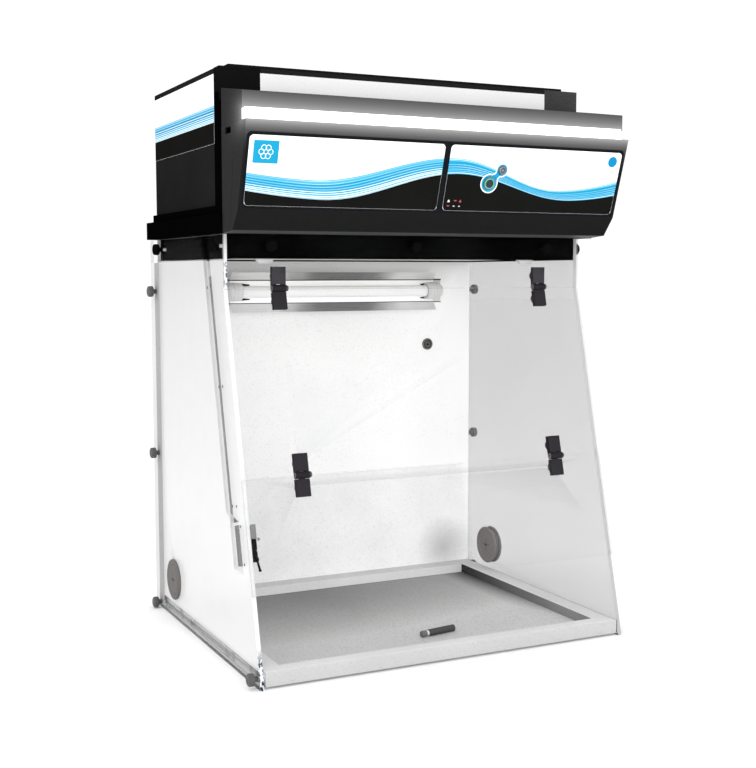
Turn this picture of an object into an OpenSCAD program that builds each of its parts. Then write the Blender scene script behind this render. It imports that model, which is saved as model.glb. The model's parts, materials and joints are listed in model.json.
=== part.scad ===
// Bench-top filtered fume hood: a clear acrylic work chamber on a shallow tray, with two folding
// front flaps, a UV lamp and an interlock switch inside, and a filter and fan head on top.
// Millimetres. The front faces -Y, +X is to the right, Z = 0 is the bench top under the feet.

/* [Chamber] */
// Width over the outer faces of the side panels
chamber_w = 800; // [700:1:900]
// Depth of the side panels
chamber_d = 680; // [660:1:700]
// Height of the side panels, up to the head
chamber_h = 826; // [815:1:835]
// Thickness of the clear side panels
side_t = 8; // [6:0.5:9]
// Height of the fold where the slanted front meets its upright top strip
fold_z = 722; // [700:1:730]
// How far the fold stands behind the front edge of the base
fold_d = 180; // [175:1:185]
// Distance from the front edge to the face of the back panel
back_d = 625; // [620:1:630]

/* [Tray] */
// Height of the tray rim
tray_h = 32; // [30:1:36]
// Height of the tray's work floor
floor_z = 12; // [10:1:14]
// Width of the ledge along the sides of the tray well
ledge_side = 42; // [38:1:50]
// Width of the front ledge
ledge_front = 34; // [30:1:40]
// Width of the ledge that carries the back panel
ledge_back = 42; // [38:1:46]
// Height of the rubber feet
foot_h = 5; // [4:1:6]

/* [Glazing and hinges] */
// Thickness of the clear front sheets
glass_t = 6; // [5:0.5:6]
// Height of the joint between the upper and lower flap
mid_z = 372; // [360:1:390]
// Height of the lower flap's free edge
open_z = 163; // [150:1:180]
// Gap between two hinged sheets
sheet_gap = 2; // [1:0.5:3]
// Width of one hinge
hinge_w = 28; // [22:1:30]
// Height of one hinge leaf, from the pin
leaf_h = 41; // [34:1:44]
// Thickness of a hinge leaf
leaf_t = 10; // [8:0.5:10]
// Radius of the hinge knuckle
knuckle_r = 7; // [6.5:0.1:7.5]
// Radius of the hinge pin
pin_r = 2.5; // [2:0.1:3]
// Distance of the upper hinges from the middle
hinge_x_up = 294; // [280:1:300]
// Distance of the lower hinges from the middle
hinge_x_low = 284; // [280:1:300]

/* [Head] */
// Top of the filter housing
head_top = 1137; // [1125:1:1145]
// Distance from the front edge to the front wall of the housing
head_front_d = 190; // [190:1:192]
// Distance from the front edge to the back wall of the housing
head_back_d = 625; // [620:1:630]
// How far the lower flange stands out beyond the housing
flange_out = 18; // [15:1:20]
// How far the upper flange stands out beyond the housing
collar_out = 6; // [4:1:8]
// Underside of the skirt that hangs inside the side panels
skirt_z = 780; // [775:1:790]
// Wall thickness of the sheet-metal parts
sheet_t = 3; // [2:0.5:3]

/* [Fascia] */
// Lean of the fascia face from the vertical
face_lean = 17.5; // [16:0.1:20]
// Height of the lower edge of the leaning face
face_z = 866; // [862:1:868]
// Distance from the front edge to that lower edge
face_d = 66; // [62:1:68]
// Top of the lower fascia body
fascia_top = 1021; // [1018:1:1022]
// Distance from the front edge to the back of the fascia
fascia_back_d = 150; // [146:1:154]
// Distance from the middle to either end of the fascia
fascia_w = 410; // [406:1:412]
// Height of the display foils on the face
foil_h = 128; // [120:1:129]
// Radius of the round start button
start_r = 11; // [10:0.5:12]
// Radius of the small mode button
mode_r = 7; // [6:0.5:8]

/* [Inside the head] */
// Outer radius of the fan wheel
wheel_r = 120; // [100:1:130]
// Height of the fan wheel
wheel_h = 62; // [50:1:66]
// Number of blades on the fan wheel
blade_count = 9; // [7:1:12]
// Thickness of the carbon filter
carbon_h = 88; // [80:1:92]

/* [Lamp] */
// Length of the reflector
reflector_l = 520; // [500:1:540]
// Middle of the lamp, to the right of the middle of the hood
lamp_x = 26; // [20:1:40]
// Height of the lamp's centre line
lamp_z = 711; // [700:1:715]
// Radius of the tube
tube_r = 13; // [12:0.5:13]

/* [Hidden] */
$fn = 48;

half_w = chamber_w / 2;
inner_x = half_w - side_t;
tray_front_d = 3;
tray_back_d = 655;
gasket_t = 3;
tray_x = inner_x - gasket_t;
front_slant = atan(fold_d / fold_z);
sheet_front_d = fold_d - glass_t;
upper_len = (fold_z - mid_z) / cos(front_slant);
lower_len = (mid_z - open_z) / cos(front_slant);
axis_out = knuckle_r + 0.4;
seat_gap = 0.05;
pin_gap = 0.05;
// The top pin stands in front of both the upright strip and the slanted flap
top_axis_d = sheet_front_d - axis_out;
top_axis_z = fold_z + (glass_t + axis_out) * tan(front_slant / 2);
top_pin_z = -(glass_t + axis_out) * tan(front_slant / 2);
outer_x = hinge_w / 2;
split_x = hinge_w * 0.18;
split_gap = 0.3;
bolt_z = 23;
bolt_r = 2.5;
collar_z = chamber_h + 37;
head_z = collar_z + 16;
filter_x = 372;
filter_front = 200;
filter_back = 605;
shelf = 20;
deck_z = chamber_h + sheet_t + carbon_h;
plug_pos = [528, 88];
plug_r = 38;
stud_r = 2.9;
stud_gap = 0.2;
knob_r = 12;
knob_t = 12;
knob_neck = 8;
// Thumb screws on each side, as [distance from the front, height]
tray_studs = [[15, 19], [637, 13]];
headed_studs = [tray_studs[1]];
back_studs = [[637, 353], [637, 713]];
skirt_studs = [[205, 804], [585, 804]];
side_studs = concat(tray_studs, back_studs, skirt_studs);
strip_stud_x = [-310, 0, 310];
port_pos = [274, 580];
port_r = 11;
port_bore_r = 4;
fan_d = 408;
shaft_r = 6;
eye_r = 54;
wheel_z = deck_z + sheet_t + 8;
motor_z = wheel_z + wheel_h + 4;
motor_r = 50;
motor_h = 66;
leg_x = wheel_r + 24;
foil_t = 1.2;
foil_side_t = 0.8;
plate_x = 319;
bar_d = 38;
light_d = 40;
light_top = 1041;
foil_z = 7;
start_pos = [99, 63];
mode_pos = [124, 90];
lamp_d = back_d - 45;
lamp_left = lamp_x - 248;
lamp_right = lamp_x + 219;
// Pivot of the switch lever in the slanted frame
lever_x = -inner_x + 13.5;
lever_y = 14.5;
lever_z = -508;
lever_l = 24;
lever_lean = 30;
// Pairs of screws across the cover, as distances up the slant
conduit_rows = [28, -170, -403];
plate_rows = [-508, -452];
inlet_x = 320;
inlet_z = head_z + 60;
grille_x = 200;
grille_front = 300;
grille_back = 516;
face_t = 3;
wall_d = face_t / cos(face_lean);
button_gap = 0.3;

// Places a child so that its Y is measured from the front edge of the base
module from_front() { translate([0, -chamber_d / 2, 0]) children(); }

// A box given by its lowest and highest corners
module slab(lo, hi) { translate(lo) cube(hi - lo); }

// A box frame with a rectangular opening, both given as [x half, front, back]
module ring_frame(outer, inner, z0, z1) {
    difference() {
        slab([-outer[0], outer[1], z0], [outer[0], outer[2], z1]);
        slab([-inner[0], inner[1], z0 - 1], [inner[0], inner[2], z1 + 1]);
    }
}

// A mirrored pair, on the left and the right
module both_sides() {
    children();
    mirror([1, 0, 0]) children();
}

// A cylinder along X from x0 to x1
module rod_x(r, x0, x1, fn = 48) {
    translate([x0, 0, 0]) rotate([0, 90, 0]) cylinder(h = x1 - x0, r = r, $fn = fn);
}

// A cylinder along Y from y0 to y1
module rod_y(r, y0, y1, fn = 48) {
    translate([0, y0, 0]) rotate([-90, 0, 0]) cylinder(h = y1 - y0, r = r, $fn = fn);
}

// Frame of the slanted front: origin at the fold, -Y out of the hood, Z up along the slant
module on_slant() {
    from_front() translate([0, fold_d, fold_z]) rotate([-front_slant, 0, 0]) children();
}

// Frame of the leaning fascia face: origin at its lower edge, -Y out of the face, Z up along it
module on_face() {
    from_front() translate([0, face_d, face_z]) rotate([face_lean, 0, 0]) children();
}

// ---------- tray ----------

module base_tray() {
    color("#d9d9d6") from_front() difference() {
        slab([-tray_x, tray_front_d, foot_h], [tray_x, tray_back_d, tray_h]);
        slab([-inner_x + ledge_side, tray_front_d + ledge_front, floor_z],
            [inner_x - ledge_side, back_d - ledge_back, tray_h + 1]);
        for (s = tray_studs) both_sides()
            translate([0, s[0], s[1]]) rod_x(stud_r + stud_gap, tray_x - 14, tray_x + 1);
    }
}

module tray_feet() {
    color("#222222") from_front()
        for (x = [-340, 340], d = [50, 600])
            translate([x, d, 0]) cylinder(h = foot_h, r = 16);
}

module tray_gaskets() {
    color("#111111") from_front() both_sides() difference() {
        slab([tray_x, tray_front_d + 2, foot_h + 1], [inner_x, tray_back_d - 5, tray_h - 1]);
        for (s = tray_studs)
            translate([0, s[0], s[1]]) rod_x(stud_r + stud_gap, tray_x - 1, inner_x + 1);
    }
}

module tray_stick() {
    color("#444444") from_front() translate([15, 134, floor_z + 7]) rotate([0, 0, 9]) {
        rod_x(7, 0, 66);
        rod_x(5.5, -6, 0);
        rod_x(6.5, -18, -6);
    }
}

// ---------- panels ----------

module back_panel() {
    color("#f2f2f0") from_front() difference() {
        union() {
            slab([-inner_x, back_d, tray_h], [inner_x, back_d + sheet_t, chamber_h]);
            both_sides()
                slab([inner_x - sheet_t, back_d + sheet_t, tray_h], [inner_x, 652, chamber_h]);
        }
        translate([port_pos[0], 0, port_pos[1]]) rod_y(port_r, back_d - 1, back_d + sheet_t + 1);
        for (s = back_studs) both_sides()
            translate([0, s[0], s[1]]) rod_x(stud_r + stud_gap, inner_x - sheet_t - 1, inner_x + 1);
    }
}

module side_panel_right() {
    color("#dfe6ea", 0.35) from_front() difference() {
        translate([inner_x, 0, 0]) rotate([90, 0, 90]) linear_extrude(side_t)
            polygon([[0, 0], [chamber_d, 0], [chamber_d, chamber_h], [fold_d, chamber_h],
                [fold_d, fold_z]]);
        translate([0, plug_pos[0], plug_pos[1]]) rod_x(plug_r, inner_x - 1, half_w + 1, 96);
        for (s = side_studs)
            translate([0, s[0], s[1]]) rod_x(stud_r + stud_gap, inner_x - 1, half_w + 1);
    }
}

module side_panel_left() { mirror([1, 0, 0]) side_panel_right(); }

// Rubber plug: a flange on each face of the panel and a waist that fills the hole
module cable_plug_right() {
    color("#6b6764") from_front() translate([0, plug_pos[0], plug_pos[1]]) {
        rod_x(plug_r, inner_x, half_w, 96);
        rod_x(plug_r + 6, inner_x - 4, inner_x, 96);
        rod_x(plug_r + 3, inner_x - 7, inner_x - 4, 96);
        rod_x(plug_r + 6, half_w, half_w + 4, 96);
        rod_x(plug_r + 3, half_w + 4, half_w + 7, 96);
    }
}

module cable_plug_left() { mirror([1, 0, 0]) cable_plug_right(); }

// Head and neck of one thumb screw, standing on the plane X = 0 and pointing along +X
module knob_shape() {
    rotate([0, 90, 0]) rotate_extrude()
        polygon([[stud_r + 0.05, 0], [5, 0], [5, knob_neck], [knob_r - 1, knob_neck],
            [knob_r, knob_neck + 1], [knob_r, knob_neck + knob_t - 2],
            [knob_r - 2, knob_neck + knob_t], [0, knob_neck + knob_t],
            [0, knob_neck + knob_t - 3], [stud_r + 0.05, knob_neck + knob_t - 3]]);
}

module thumb_knobs() {
    color("#4a4a4a") from_front() {
        for (s = concat(headed_studs, back_studs, skirt_studs)) both_sides()
            translate([half_w, s[0], s[1]]) knob_shape();
        translate([-half_w, tray_studs[0][0], tray_studs[0][1]]) mirror([1, 0, 0]) knob_shape();
        for (x = strip_stud_x)
            translate([x, sheet_front_d, skirt_studs[0][1]]) rotate([0, 0, -90]) knob_shape();
    }
}

module knob_studs() {
    reach = knob_neck + knob_t - 3;
    color("#b8b8b8") from_front() {
        for (s = headed_studs) both_sides()
            translate([0, s[0], s[1]]) rod_x(stud_r, tray_x - 12, half_w + reach);
        // The front screw on the right is sunk flush with the panel
        translate([0, tray_studs[0][0], tray_studs[0][1]]) {
            rod_x(stud_r, -half_w - reach, -tray_x + 12);
            rod_x(stud_r, tray_x - 12, half_w);
        }
        for (s = concat(back_studs, skirt_studs)) both_sides()
            translate([0, s[0], s[1]]) rod_x(stud_r, inner_x - 8, half_w + reach);
        for (x = strip_stud_x)
            translate([x, 0, skirt_studs[0][1]]) rod_y(stud_r, sheet_front_d - reach, fold_d + 8);
    }
}

// ---------- front glazing ----------

module front_strip() {
    color("#dfe6ea", 0.35) from_front() difference() {
        slab([-half_w, sheet_front_d, fold_z + sheet_gap / 2], [half_w, fold_d, chamber_h]);
        for (x = strip_stud_x)
            translate([x, 0, skirt_studs[0][1]])
                rod_y(stud_r + stud_gap, sheet_front_d - 1, fold_d + 1);
        for (x = [-hinge_x_up, hinge_x_up]) translate([x, 0, top_axis_z + bolt_z])
            rod_y(bolt_r + stud_gap, sheet_front_d - 1, fold_d + 1);
    }
}

// Hole for a hinge bolt through a sheet in the slanted frame
module sheet_hole(x, z) { translate([x, 0, z]) rod_y(bolt_r + stud_gap, -glass_t - 1, 1); }

module upper_flap() {
    color("#dfe6ea", 0.35) on_slant() difference() {
        slab([-half_w, -glass_t, -upper_len + sheet_gap / 2], [half_w, -seat_gap, -sheet_gap / 2]);
        for (x = [-hinge_x_up, hinge_x_up]) sheet_hole(x, top_pin_z - bolt_z);
        for (x = [-hinge_x_low, hinge_x_low]) sheet_hole(x, -upper_len + bolt_z);
    }
}

module lower_flap() {
    color("#dfe6ea", 0.35) on_slant() difference() {
        slab([-half_w, -glass_t, -upper_len - lower_len],
            [half_w, -seat_gap, -upper_len - sheet_gap / 2]);
        for (x = [-hinge_x_low, hinge_x_low]) sheet_hole(x, -upper_len - bolt_z);
    }
}

// ---------- hinges ----------
// Hinge frame: X along the pin, -Y out of the hood, Z up the sheet, origin on the sheet face at
// the pin. The outer two knuckles go with the upper leaf and the middle one with the lower leaf.

// One leaf that points up, with a knuckle over each span of X
module leaf(spans) {
    difference() {
        union() {
            slab([-outer_x, -leaf_t, knuckle_r + 0.6], [outer_x, 0, leaf_h]);
            for (s = spans) {
                translate([0, -axis_out, 0]) rod_x(knuckle_r, s[0], s[1]);
                slab([s[0], -leaf_t + 0.6, 0], [s[1], -0.4, knuckle_r + 1]);
            }
        }
        translate([0, -axis_out, 0]) rod_x(pin_r + pin_gap, -hinge_w, hinge_w);
        translate([0, 0, bolt_z]) rod_y(bolt_r + stud_gap, -leaf_t + 3, 1, 32);
    }
}

module upper_leaf() { leaf([[-outer_x, -split_x - split_gap], [split_x + split_gap, outer_x]]); }

module lower_leaf() { mirror([0, 0, 1]) leaf([[-split_x, split_x]]); }

// Pin with a domed head on the right
module hinge_pin() {
    translate([outer_x + 0.2, -axis_out, 0]) rotate([0, 90, 0]) rotate_extrude()
        polygon([[0, -hinge_w], [pin_r, -hinge_w], [pin_r, 0], [6.2, 0], [6.2, 2.5],
            [4.6, 4.6], [2.2, 5.6], [0, 5.8]]);
}

// Bolt of one leaf: a stud from the leaf through the sheet to a domed nut on the inside
module leaf_bolt(side) {
    translate([0, -leaf_t + 3.5, side * bolt_z]) rotate([-90, 0, 0]) rotate_extrude()
        polygon([[0, 0], [bolt_r, 0], [bolt_r, leaf_t - 3.5 + glass_t], [11, leaf_t - 3.5 + glass_t],
            [11, leaf_t + 1 + glass_t], [8, leaf_t + 3.5 + glass_t], [0, leaf_t + 4 + glass_t]]);
}

// Frames of the two top hinges, square to the upright strip or to the slanted flap
module at_top_hinges(slant) {
    for (x = [-hinge_x_up, hinge_x_up])
        from_front() translate([x, top_axis_d, top_axis_z]) rotate([-slant, 0, 0])
            translate([0, axis_out, 0]) children();
}

module at_mid_hinges() {
    for (x = [-hinge_x_low, hinge_x_low])
        on_slant() translate([x, -glass_t, -upper_len]) children();
}

module top_hinge_fixed_leaves() { color("#453f45") at_top_hinges(0) upper_leaf(); }

module top_hinge_moving_leaves() { color("#453f45") at_top_hinges(front_slant) lower_leaf(); }

module top_hinge_pins() { color("#6a666a") at_top_hinges(0) hinge_pin(); }

module mid_hinge_upper_leaves() { color("#453f45") at_mid_hinges() upper_leaf(); }

module mid_hinge_lower_leaves() { color("#453f45") at_mid_hinges() lower_leaf(); }

module mid_hinge_pins() { color("#6a666a") at_mid_hinges() hinge_pin(); }

module strip_hinge_bolts() { color("#353035") at_top_hinges(0) leaf_bolt(1); }

module upper_flap_hinge_bolts() {
    color("#353035") {
        at_top_hinges(front_slant) leaf_bolt(-1);
        at_mid_hinges() leaf_bolt(1);
    }
}

module lower_flap_hinge_bolts() { color("#353035") at_mid_hinges() leaf_bolt(-1); }

// ---------- back wall fittings ----------

// Rubber bush in the back panel with a straight bore for a probe
module sampling_port() {
    color("#55504d") from_front() translate([port_pos[0], 0, port_pos[1]]) difference() {
        union() {
            rod_y(port_r, back_d, back_d + sheet_t);
            rod_y(14, back_d - 3, back_d);
            rod_y(14, back_d + sheet_t, back_d + sheet_t + 4);
        }
        rod_y(port_bore_r, back_d - 4, back_d + sheet_t + 5);
    }
}

module lamp_base() {
    color("#e8e8e8") from_front()
        slab([lamp_x - 274, back_d - 20, lamp_z - 24], [lamp_x + 274, back_d, lamp_z + 24]);
}

// Folded bright sheet: a flat middle and two wings that flare forward
module lamp_reflector() {
    mid_d = back_d - 20;
    color("#d0d3d6") from_front() translate([lamp_x - 7 - reflector_l / 2, 0, lamp_z])
        rotate([90, 0, 90]) linear_extrude(reflector_l)
            polygon([[mid_d, -26], [mid_d - 16, -46], [mid_d - 17.5, -46], [mid_d - 1.5, -26],
                [mid_d - 1.5, 26], [mid_d - 17.5, 44], [mid_d - 16, 44], [mid_d, 26]]);
}

module lamp_holders() {
    color("#e4e4e2") from_front() for (x = [lamp_left - 42, lamp_right]) {
        translate([x, lamp_d, lamp_z]) rod_x(21, 0, 42);
        slab([x + 20, lamp_d, lamp_z - 12], [x + 32, back_d - 21.5, lamp_z + 12]);
    }
}

module uv_tube() {
    color("#f4f6ff", 0.8) from_front() translate([0, lamp_d, lamp_z])
        rod_x(tube_r, lamp_left, lamp_right);
}

// ---------- interlock switch on the left panel ----------

module conduit_cover() {
    color("#b5b5b5") on_slant() difference() {
        slab([-inner_x, 63, -434], [-inner_x + 6, 102, 50]);
        slab([-inner_x - 1, 66, -435], [-inner_x + 4.5, 99, 47]);
    }
}

module conduit_screws() {
    color("#777777") on_slant() {
        for (z = conduit_rows, y = [74, 91])
            translate([-inner_x + 6, y, z]) rod_x(3, 0, 1.6, 24);
        for (z = plate_rows) translate([-inner_x + 4, 74, z]) rod_x(3, 0, 1.6, 24);
    }
}

module switch_cover_plate() {
    color("#a5a5a5") on_slant() slab([-inner_x, 34, -518], [-inner_x + 4, 85, -440]);
}

// Angle bracket that carries the switch clear of the panel
module switch_bracket() {
    color("#b5b5b5") on_slant() {
        slab([-inner_x + 4, 14, -470], [-inner_x + 7, 60, -446]);
        slab([-inner_x + 7, 14, -470], [-inner_x + 17, 17, -443]);
        slab([-inner_x + 7, 17, -470], [-inner_x + 17, 30, -467]);
    }
}

module microswitch_body() {
    color("#161616") on_slant() {
        slab([-inner_x + 10, 17, -513], [-inner_x + 17, 27, -470]);
        translate([lever_x, lever_y, lever_z]) both_sides() difference() {
            slab([2.5, -2.4, -3], [3.5, 5, 3]);
            rod_x(1, 2, 4, 24);
        }
    }
}

// Spring lever: a pivot barrel, a strip that leans out to the flap and a rounded end
module switch_lever() {
    color("#1a1a1a") on_slant() translate([lever_x, lever_y, lever_z]) {
        rod_x(1.6, -2.4, 2.4, 24);
        rod_x(1 - pin_gap, -3.5, 3.5, 24);
        rotate([-lever_lean, 0, 0]) {
            slab([-2, -0.6, -lever_l], [2, 0.6, 0.2]);
            translate([0, 0, -lever_l]) rod_x(2.2, -2.2, 2.2, 32);
        }
    }
}

// ---------- filter head ----------

// Black rim that hangs between the side panels and carries the pre-filter on its lip
module skirt_frame() {
    color("#101010") from_front() difference() {
        union() {
            ring_frame([inner_x, fold_d, back_d], [inner_x - sheet_t, fold_d + sheet_t,
                back_d - sheet_t], skirt_z, chamber_h);
            ring_frame([inner_x - sheet_t, fold_d + sheet_t, back_d - sheet_t],
                [filter_x - 8, filter_front + 8, filter_back - 8], skirt_z, skirt_z + sheet_t);
        }
        for (s = skirt_studs) both_sides()
            translate([0, s[0], s[1]]) rod_x(stud_r + stud_gap, inner_x - 5, inner_x + 1);
        for (x = strip_stud_x)
            translate([x, 0, skirt_studs[0][1]]) rod_y(stud_r + stud_gap, fold_d - 1, fold_d + 5);
    }
}

module pre_filter() {
    color("#e9e9e4") from_front() slab([-filter_x, filter_front, skirt_z + sheet_t],
        [filter_x, filter_back, skirt_z + sheet_t + 16]);
}

// Wedge-shaped catches under the lip of the skirt
module filter_clips() {
    color("#c9c9c9") from_front() for (x = [-314, 273])
        translate([x, 192, skirt_z]) rotate([90, 0, 0]) linear_extrude(8)
            polygon([[-20, 0], [20, 0], [12, -9], [-12, -9]]);
}

module lower_flange() {
    outer = [half_w + flange_out, fascia_back_d, head_back_d + flange_out];
    color("#0c0c0c") from_front() {
        ring_frame(outer, [filter_x - shelf, filter_front + shelf, filter_back - shelf],
            chamber_h, chamber_h + sheet_t);
        ring_frame(outer, [outer[0] - sheet_t, outer[1] + sheet_t, outer[2] - sheet_t],
            chamber_h + sheet_t, collar_z - sheet_t);
        ring_frame(outer, [filter_x + 2, filter_front - 2, filter_back + 2],
            collar_z - sheet_t, collar_z);
    }
}

module upper_flange() {
    outer = [half_w + collar_out, fascia_back_d, head_back_d + collar_out];
    color("#161616") from_front() {
        ring_frame(outer, [filter_x + 2, filter_front - 2, filter_back + 2], collar_z,
            collar_z + sheet_t);
        ring_frame(outer, [outer[0] - sheet_t, outer[1] + sheet_t, outer[2] - sheet_t],
            collar_z + sheet_t, head_z - sheet_t);
        ring_frame(outer, [half_w - 8, head_front_d + 8, head_back_d - 8],
            head_z - sheet_t, head_z);
    }
}

module carbon_filter() {
    color("#2b2b2b") from_front() slab([-filter_x, filter_front, chamber_h + sheet_t],
        [filter_x, filter_back, deck_z]);
}

module housing_shell() {
    color("#1b1b1b") from_front() difference() {
        union() {
            ring_frame([half_w, head_front_d, head_back_d], [half_w - sheet_t,
                head_front_d + sheet_t, head_back_d - sheet_t], head_z, head_top - sheet_t);
            ring_frame([half_w, head_front_d, head_back_d], [350, 240, 575],
                head_top - sheet_t, head_top);
        }
        slab([inlet_x - 14, head_back_d - 5, inlet_z - 10],
            [inlet_x + 14, head_back_d + 1, inlet_z + 10]);
    }
}

// Thin printed sheet on each side of the housing
module side_foils() {
    color("#f4f4f4") from_front() both_sides()
        slab([half_w, 219, 996], [half_w + 0.8, head_back_d - 3, head_top - 11]);
}

module front_frame() {
    color("#222222") from_front() {
        difference() {
            slab([-half_w - foil_side_t, fascia_back_d, head_z],
                [half_w + foil_side_t, head_front_d, 1073]);
            slab([-half_w + 2, fascia_back_d - 1, head_z + 2],
                [half_w - 2, head_front_d - 2, 1071]);
        }
        both_sides()
            slab([half_w, head_front_d, head_z], [half_w + foil_side_t, 219, 1090]);
    }
}

module front_top_panel() {
    color("#f0f0f0") from_front()
        slab([-plate_x, head_front_d - 2, 1073], [plate_x, head_front_d, head_top - 9]);
}

// Folded brackets at the two upper front corners
module corner_brackets() {
    color("#333333") from_front() both_sides() {
        slab([plate_x, head_front_d - 2, 1073], [half_w + foil_side_t, head_front_d, head_top]);
        slab([half_w, head_front_d, 1090], [half_w + foil_side_t, 219, head_top]);
    }
}

module top_cover() {
    color("#1b1b1b") from_front()
        ring_frame([376, 209, 606], [grille_x, grille_front, grille_back], head_top, head_top + 8);
}

module exhaust_grille() {
    bar_pitch = (grille_back - grille_front - 6) / 12;
    color("#3a3a3a") from_front() {
        ring_frame([grille_x, grille_front, grille_back], [grille_x - 6, grille_front + 6,
            grille_back - 6], head_top, head_top + 6);
        for (i = [1 : 11])
            slab([-grille_x + 6, grille_front + i * bar_pitch, head_top],
                [grille_x - 6, grille_front + 6 + i * bar_pitch, head_top + 5]);
    }
}

// Socket for a mains lead in the back wall
module power_inlet() {
    color("#202020") from_front() difference() {
        union() {
            slab([inlet_x - 14, head_back_d - 22, inlet_z - 10],
                [inlet_x + 14, head_back_d, inlet_z + 10]);
            slab([inlet_x - 22, head_back_d, inlet_z - 15],
                [inlet_x + 22, head_back_d + 4, inlet_z + 15]);
        }
        slab([inlet_x - 11, head_back_d - 12, inlet_z - 7],
            [inlet_x + 11, head_back_d + 5, inlet_z + 7]);
    }
}

// ---------- fan ----------

module fan_deck() {
    color("#8c8f92") from_front() difference() {
        slab([-half_w + sheet_t, head_front_d + sheet_t, deck_z],
            [half_w - sheet_t, head_back_d - sheet_t, deck_z + sheet_t]);
        translate([0, fan_d, deck_z - 1]) cylinder(h = sheet_t + 2, r = eye_r, $fn = 96);
    }
}

module fan_motor() {
    color("#5c6166") from_front() translate([0, fan_d, motor_z]) difference() {
        cylinder(h = motor_h, r = motor_r, $fn = 96);
        translate([0, 0, -1]) cylinder(h = 32, r = shaft_r + pin_gap);
    }
}

module motor_bridge() {
    top = motor_z + motor_h;
    color("#9a9da0") from_front() {
        slab([-leg_x, fan_d - 30, top], [leg_x, fan_d + 30, top + 4]);
        both_sides() {
            slab([leg_x - 4, fan_d - 30, deck_z + sheet_t], [leg_x, fan_d + 30, top]);
            slab([leg_x, fan_d - 30, deck_z + sheet_t], [leg_x + 20, fan_d + 30,
                deck_z + sheet_t + 4]);
        }
    }
}

// Backward-curved wheel: shroud ring below, blades, and a solid plate with the shaft above
module fan_wheel() {
    color("#c4c7ca") from_front() translate([0, fan_d, wheel_z]) {
        difference() {
            cylinder(h = 3, r = wheel_r, $fn = 96);
            translate([0, 0, -1]) cylinder(h = 5, r = eye_r, $fn = 96);
        }
        translate([0, 0, wheel_h - 4]) cylinder(h = 4, r = wheel_r, $fn = 96);
        translate([0, 0, wheel_h]) cylinder(h = 30, r = shaft_r);
        for (i = [0 : blade_count - 1]) rotate([0, 0, i * 360 / blade_count])
            translate([wheel_r * 0.68, 0, 2]) rotate([0, 0, -35])
                translate([-30, -1.5, 0]) cube([60, 3, wheel_h - 5]);
    }
}

// ---------- fascia ----------

// Distance from the front edge of the leaning face at a height
function face_at(z) = face_d - (z - face_z) * tan(face_lean);

// Solid between two distances along X, from a profile of [distance from the front, height]
module profile_x(points, x0, x1) {
    translate([x0, 0, 0]) rotate([90, 0, 90]) linear_extrude(x1 - x0) polygon(points);
}

module fascia_body() {
    color("#232323") difference() {
        from_front() difference() {
            profile_x([[face_at(fascia_top), fascia_top], [face_d, face_z], [96, 830],
                [fascia_back_d, chamber_h], [fascia_back_d, fascia_top]], -fascia_w, fascia_w);
            profile_x([[face_at(fascia_top - 3) + wall_d, fascia_top - 3],
                [face_at(face_z + 1) + wall_d, face_z + 1], [97.5, 833.5],
                [fascia_back_d + 1, 830], [fascia_back_d + 1, fascia_top - 3]],
                -fascia_w + 3, fascia_w - 3);
            slab([-fascia_w - 1, 98, 1004], [-fascia_w + 4, 130, 1016]);
            // Seam between the front cover and the cheek, on both ends
            both_sides() profile_x([[76, 1016], [77, 1016], [110, 832], [109, 832]],
                fascia_w - 0.6, fascia_w + 1);
        }
        on_face() {
            translate([start_pos[0], 0, start_pos[1]]) rod_y(start_r + button_gap, -1, 8);
            translate([mode_pos[0], 0, mode_pos[1]]) rod_y(mode_r + button_gap, -1, 8);
        }
    }
}

// Sloping upper bar with the closed end of the light strip at its left
module fascia_top_bar() {
    color("#6a6a6a") from_front() {
        difference() {
            profile_x([[bar_d, light_top], [bar_d, 1072], [fascia_back_d, 1090],
                [fascia_back_d, fascia_top], [light_d + 12, fascia_top],
                [light_d + 12, light_top]], -fascia_w, fascia_w);
            profile_x([[light_d + 15, fascia_top - 1], [light_d + 15, 1071],
                [fascia_back_d - 3, 1086], [fascia_back_d - 3, fascia_top - 1]],
                -fascia_w + 3, fascia_w - 3);
        }
        slab([-fascia_w, light_d + 2, fascia_top], [-fascia_w + 2, light_d + 12, light_top]);
    }
}

module light_bar() {
    color("#ffffff") from_front()
        slab([-fascia_w + 2, light_d, fascia_top], [fascia_w, light_d + 12, light_top]);
}

module foil_plate(x0, x1) {
    r = 8;
    translate([0, 0, foil_z]) rotate([90, 0, 0]) linear_extrude(foil_t) union() {
        translate([x0 + r, 0]) square([x1 - x0 - 2 * r, foil_h]);
        translate([x0, r]) square([x1 - x0, foil_h - 2 * r]);
        for (x = [x0 + r, x1 - r], y = [r, foil_h - r]) translate([x, y]) circle(r = r, $fn = 32);
    }
}

module foil_left() { color("#f6f6f6") on_face() foil_plate(-400.5, -8.5); }

module foil_right() {
    color("#f6f6f6") on_face() difference() {
        foil_plate(4, 400.5);
        translate([start_pos[0], 0, start_pos[1]]) rod_y(start_r + button_gap, -foil_t - 1, 1);
        translate([mode_pos[0], 0, mode_pos[1]]) rod_y(mode_r + button_gap, -foil_t - 1, 1);
    }
}

// Push button with a collar behind the fascia plate that keeps it in
module push_button(r) {
    rod_y(r, -foil_t - 2.8, face_t);
    rod_y(r + 1.6, face_t, face_t + 1.5);
}

module start_button() {
    color("#4a5c5a") on_face() translate([start_pos[0], 0, start_pos[1]]) push_button(start_r);
}

module mode_button() {
    color("#c8ccd0") on_face() translate([mode_pos[0], 0, mode_pos[1]]) push_button(mode_r);
}

// Circuit board on four posts behind the buttons
module control_board() {
    color("#1f5a38") on_face() {
        slab([60, 16, 30], [200, 17.6, 118]);
        for (x = [68, 192], z = [38, 110]) translate([x, 0, z]) rod_y(3, face_t, 16);
    }
}

// ---------- drawing ----------

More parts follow.
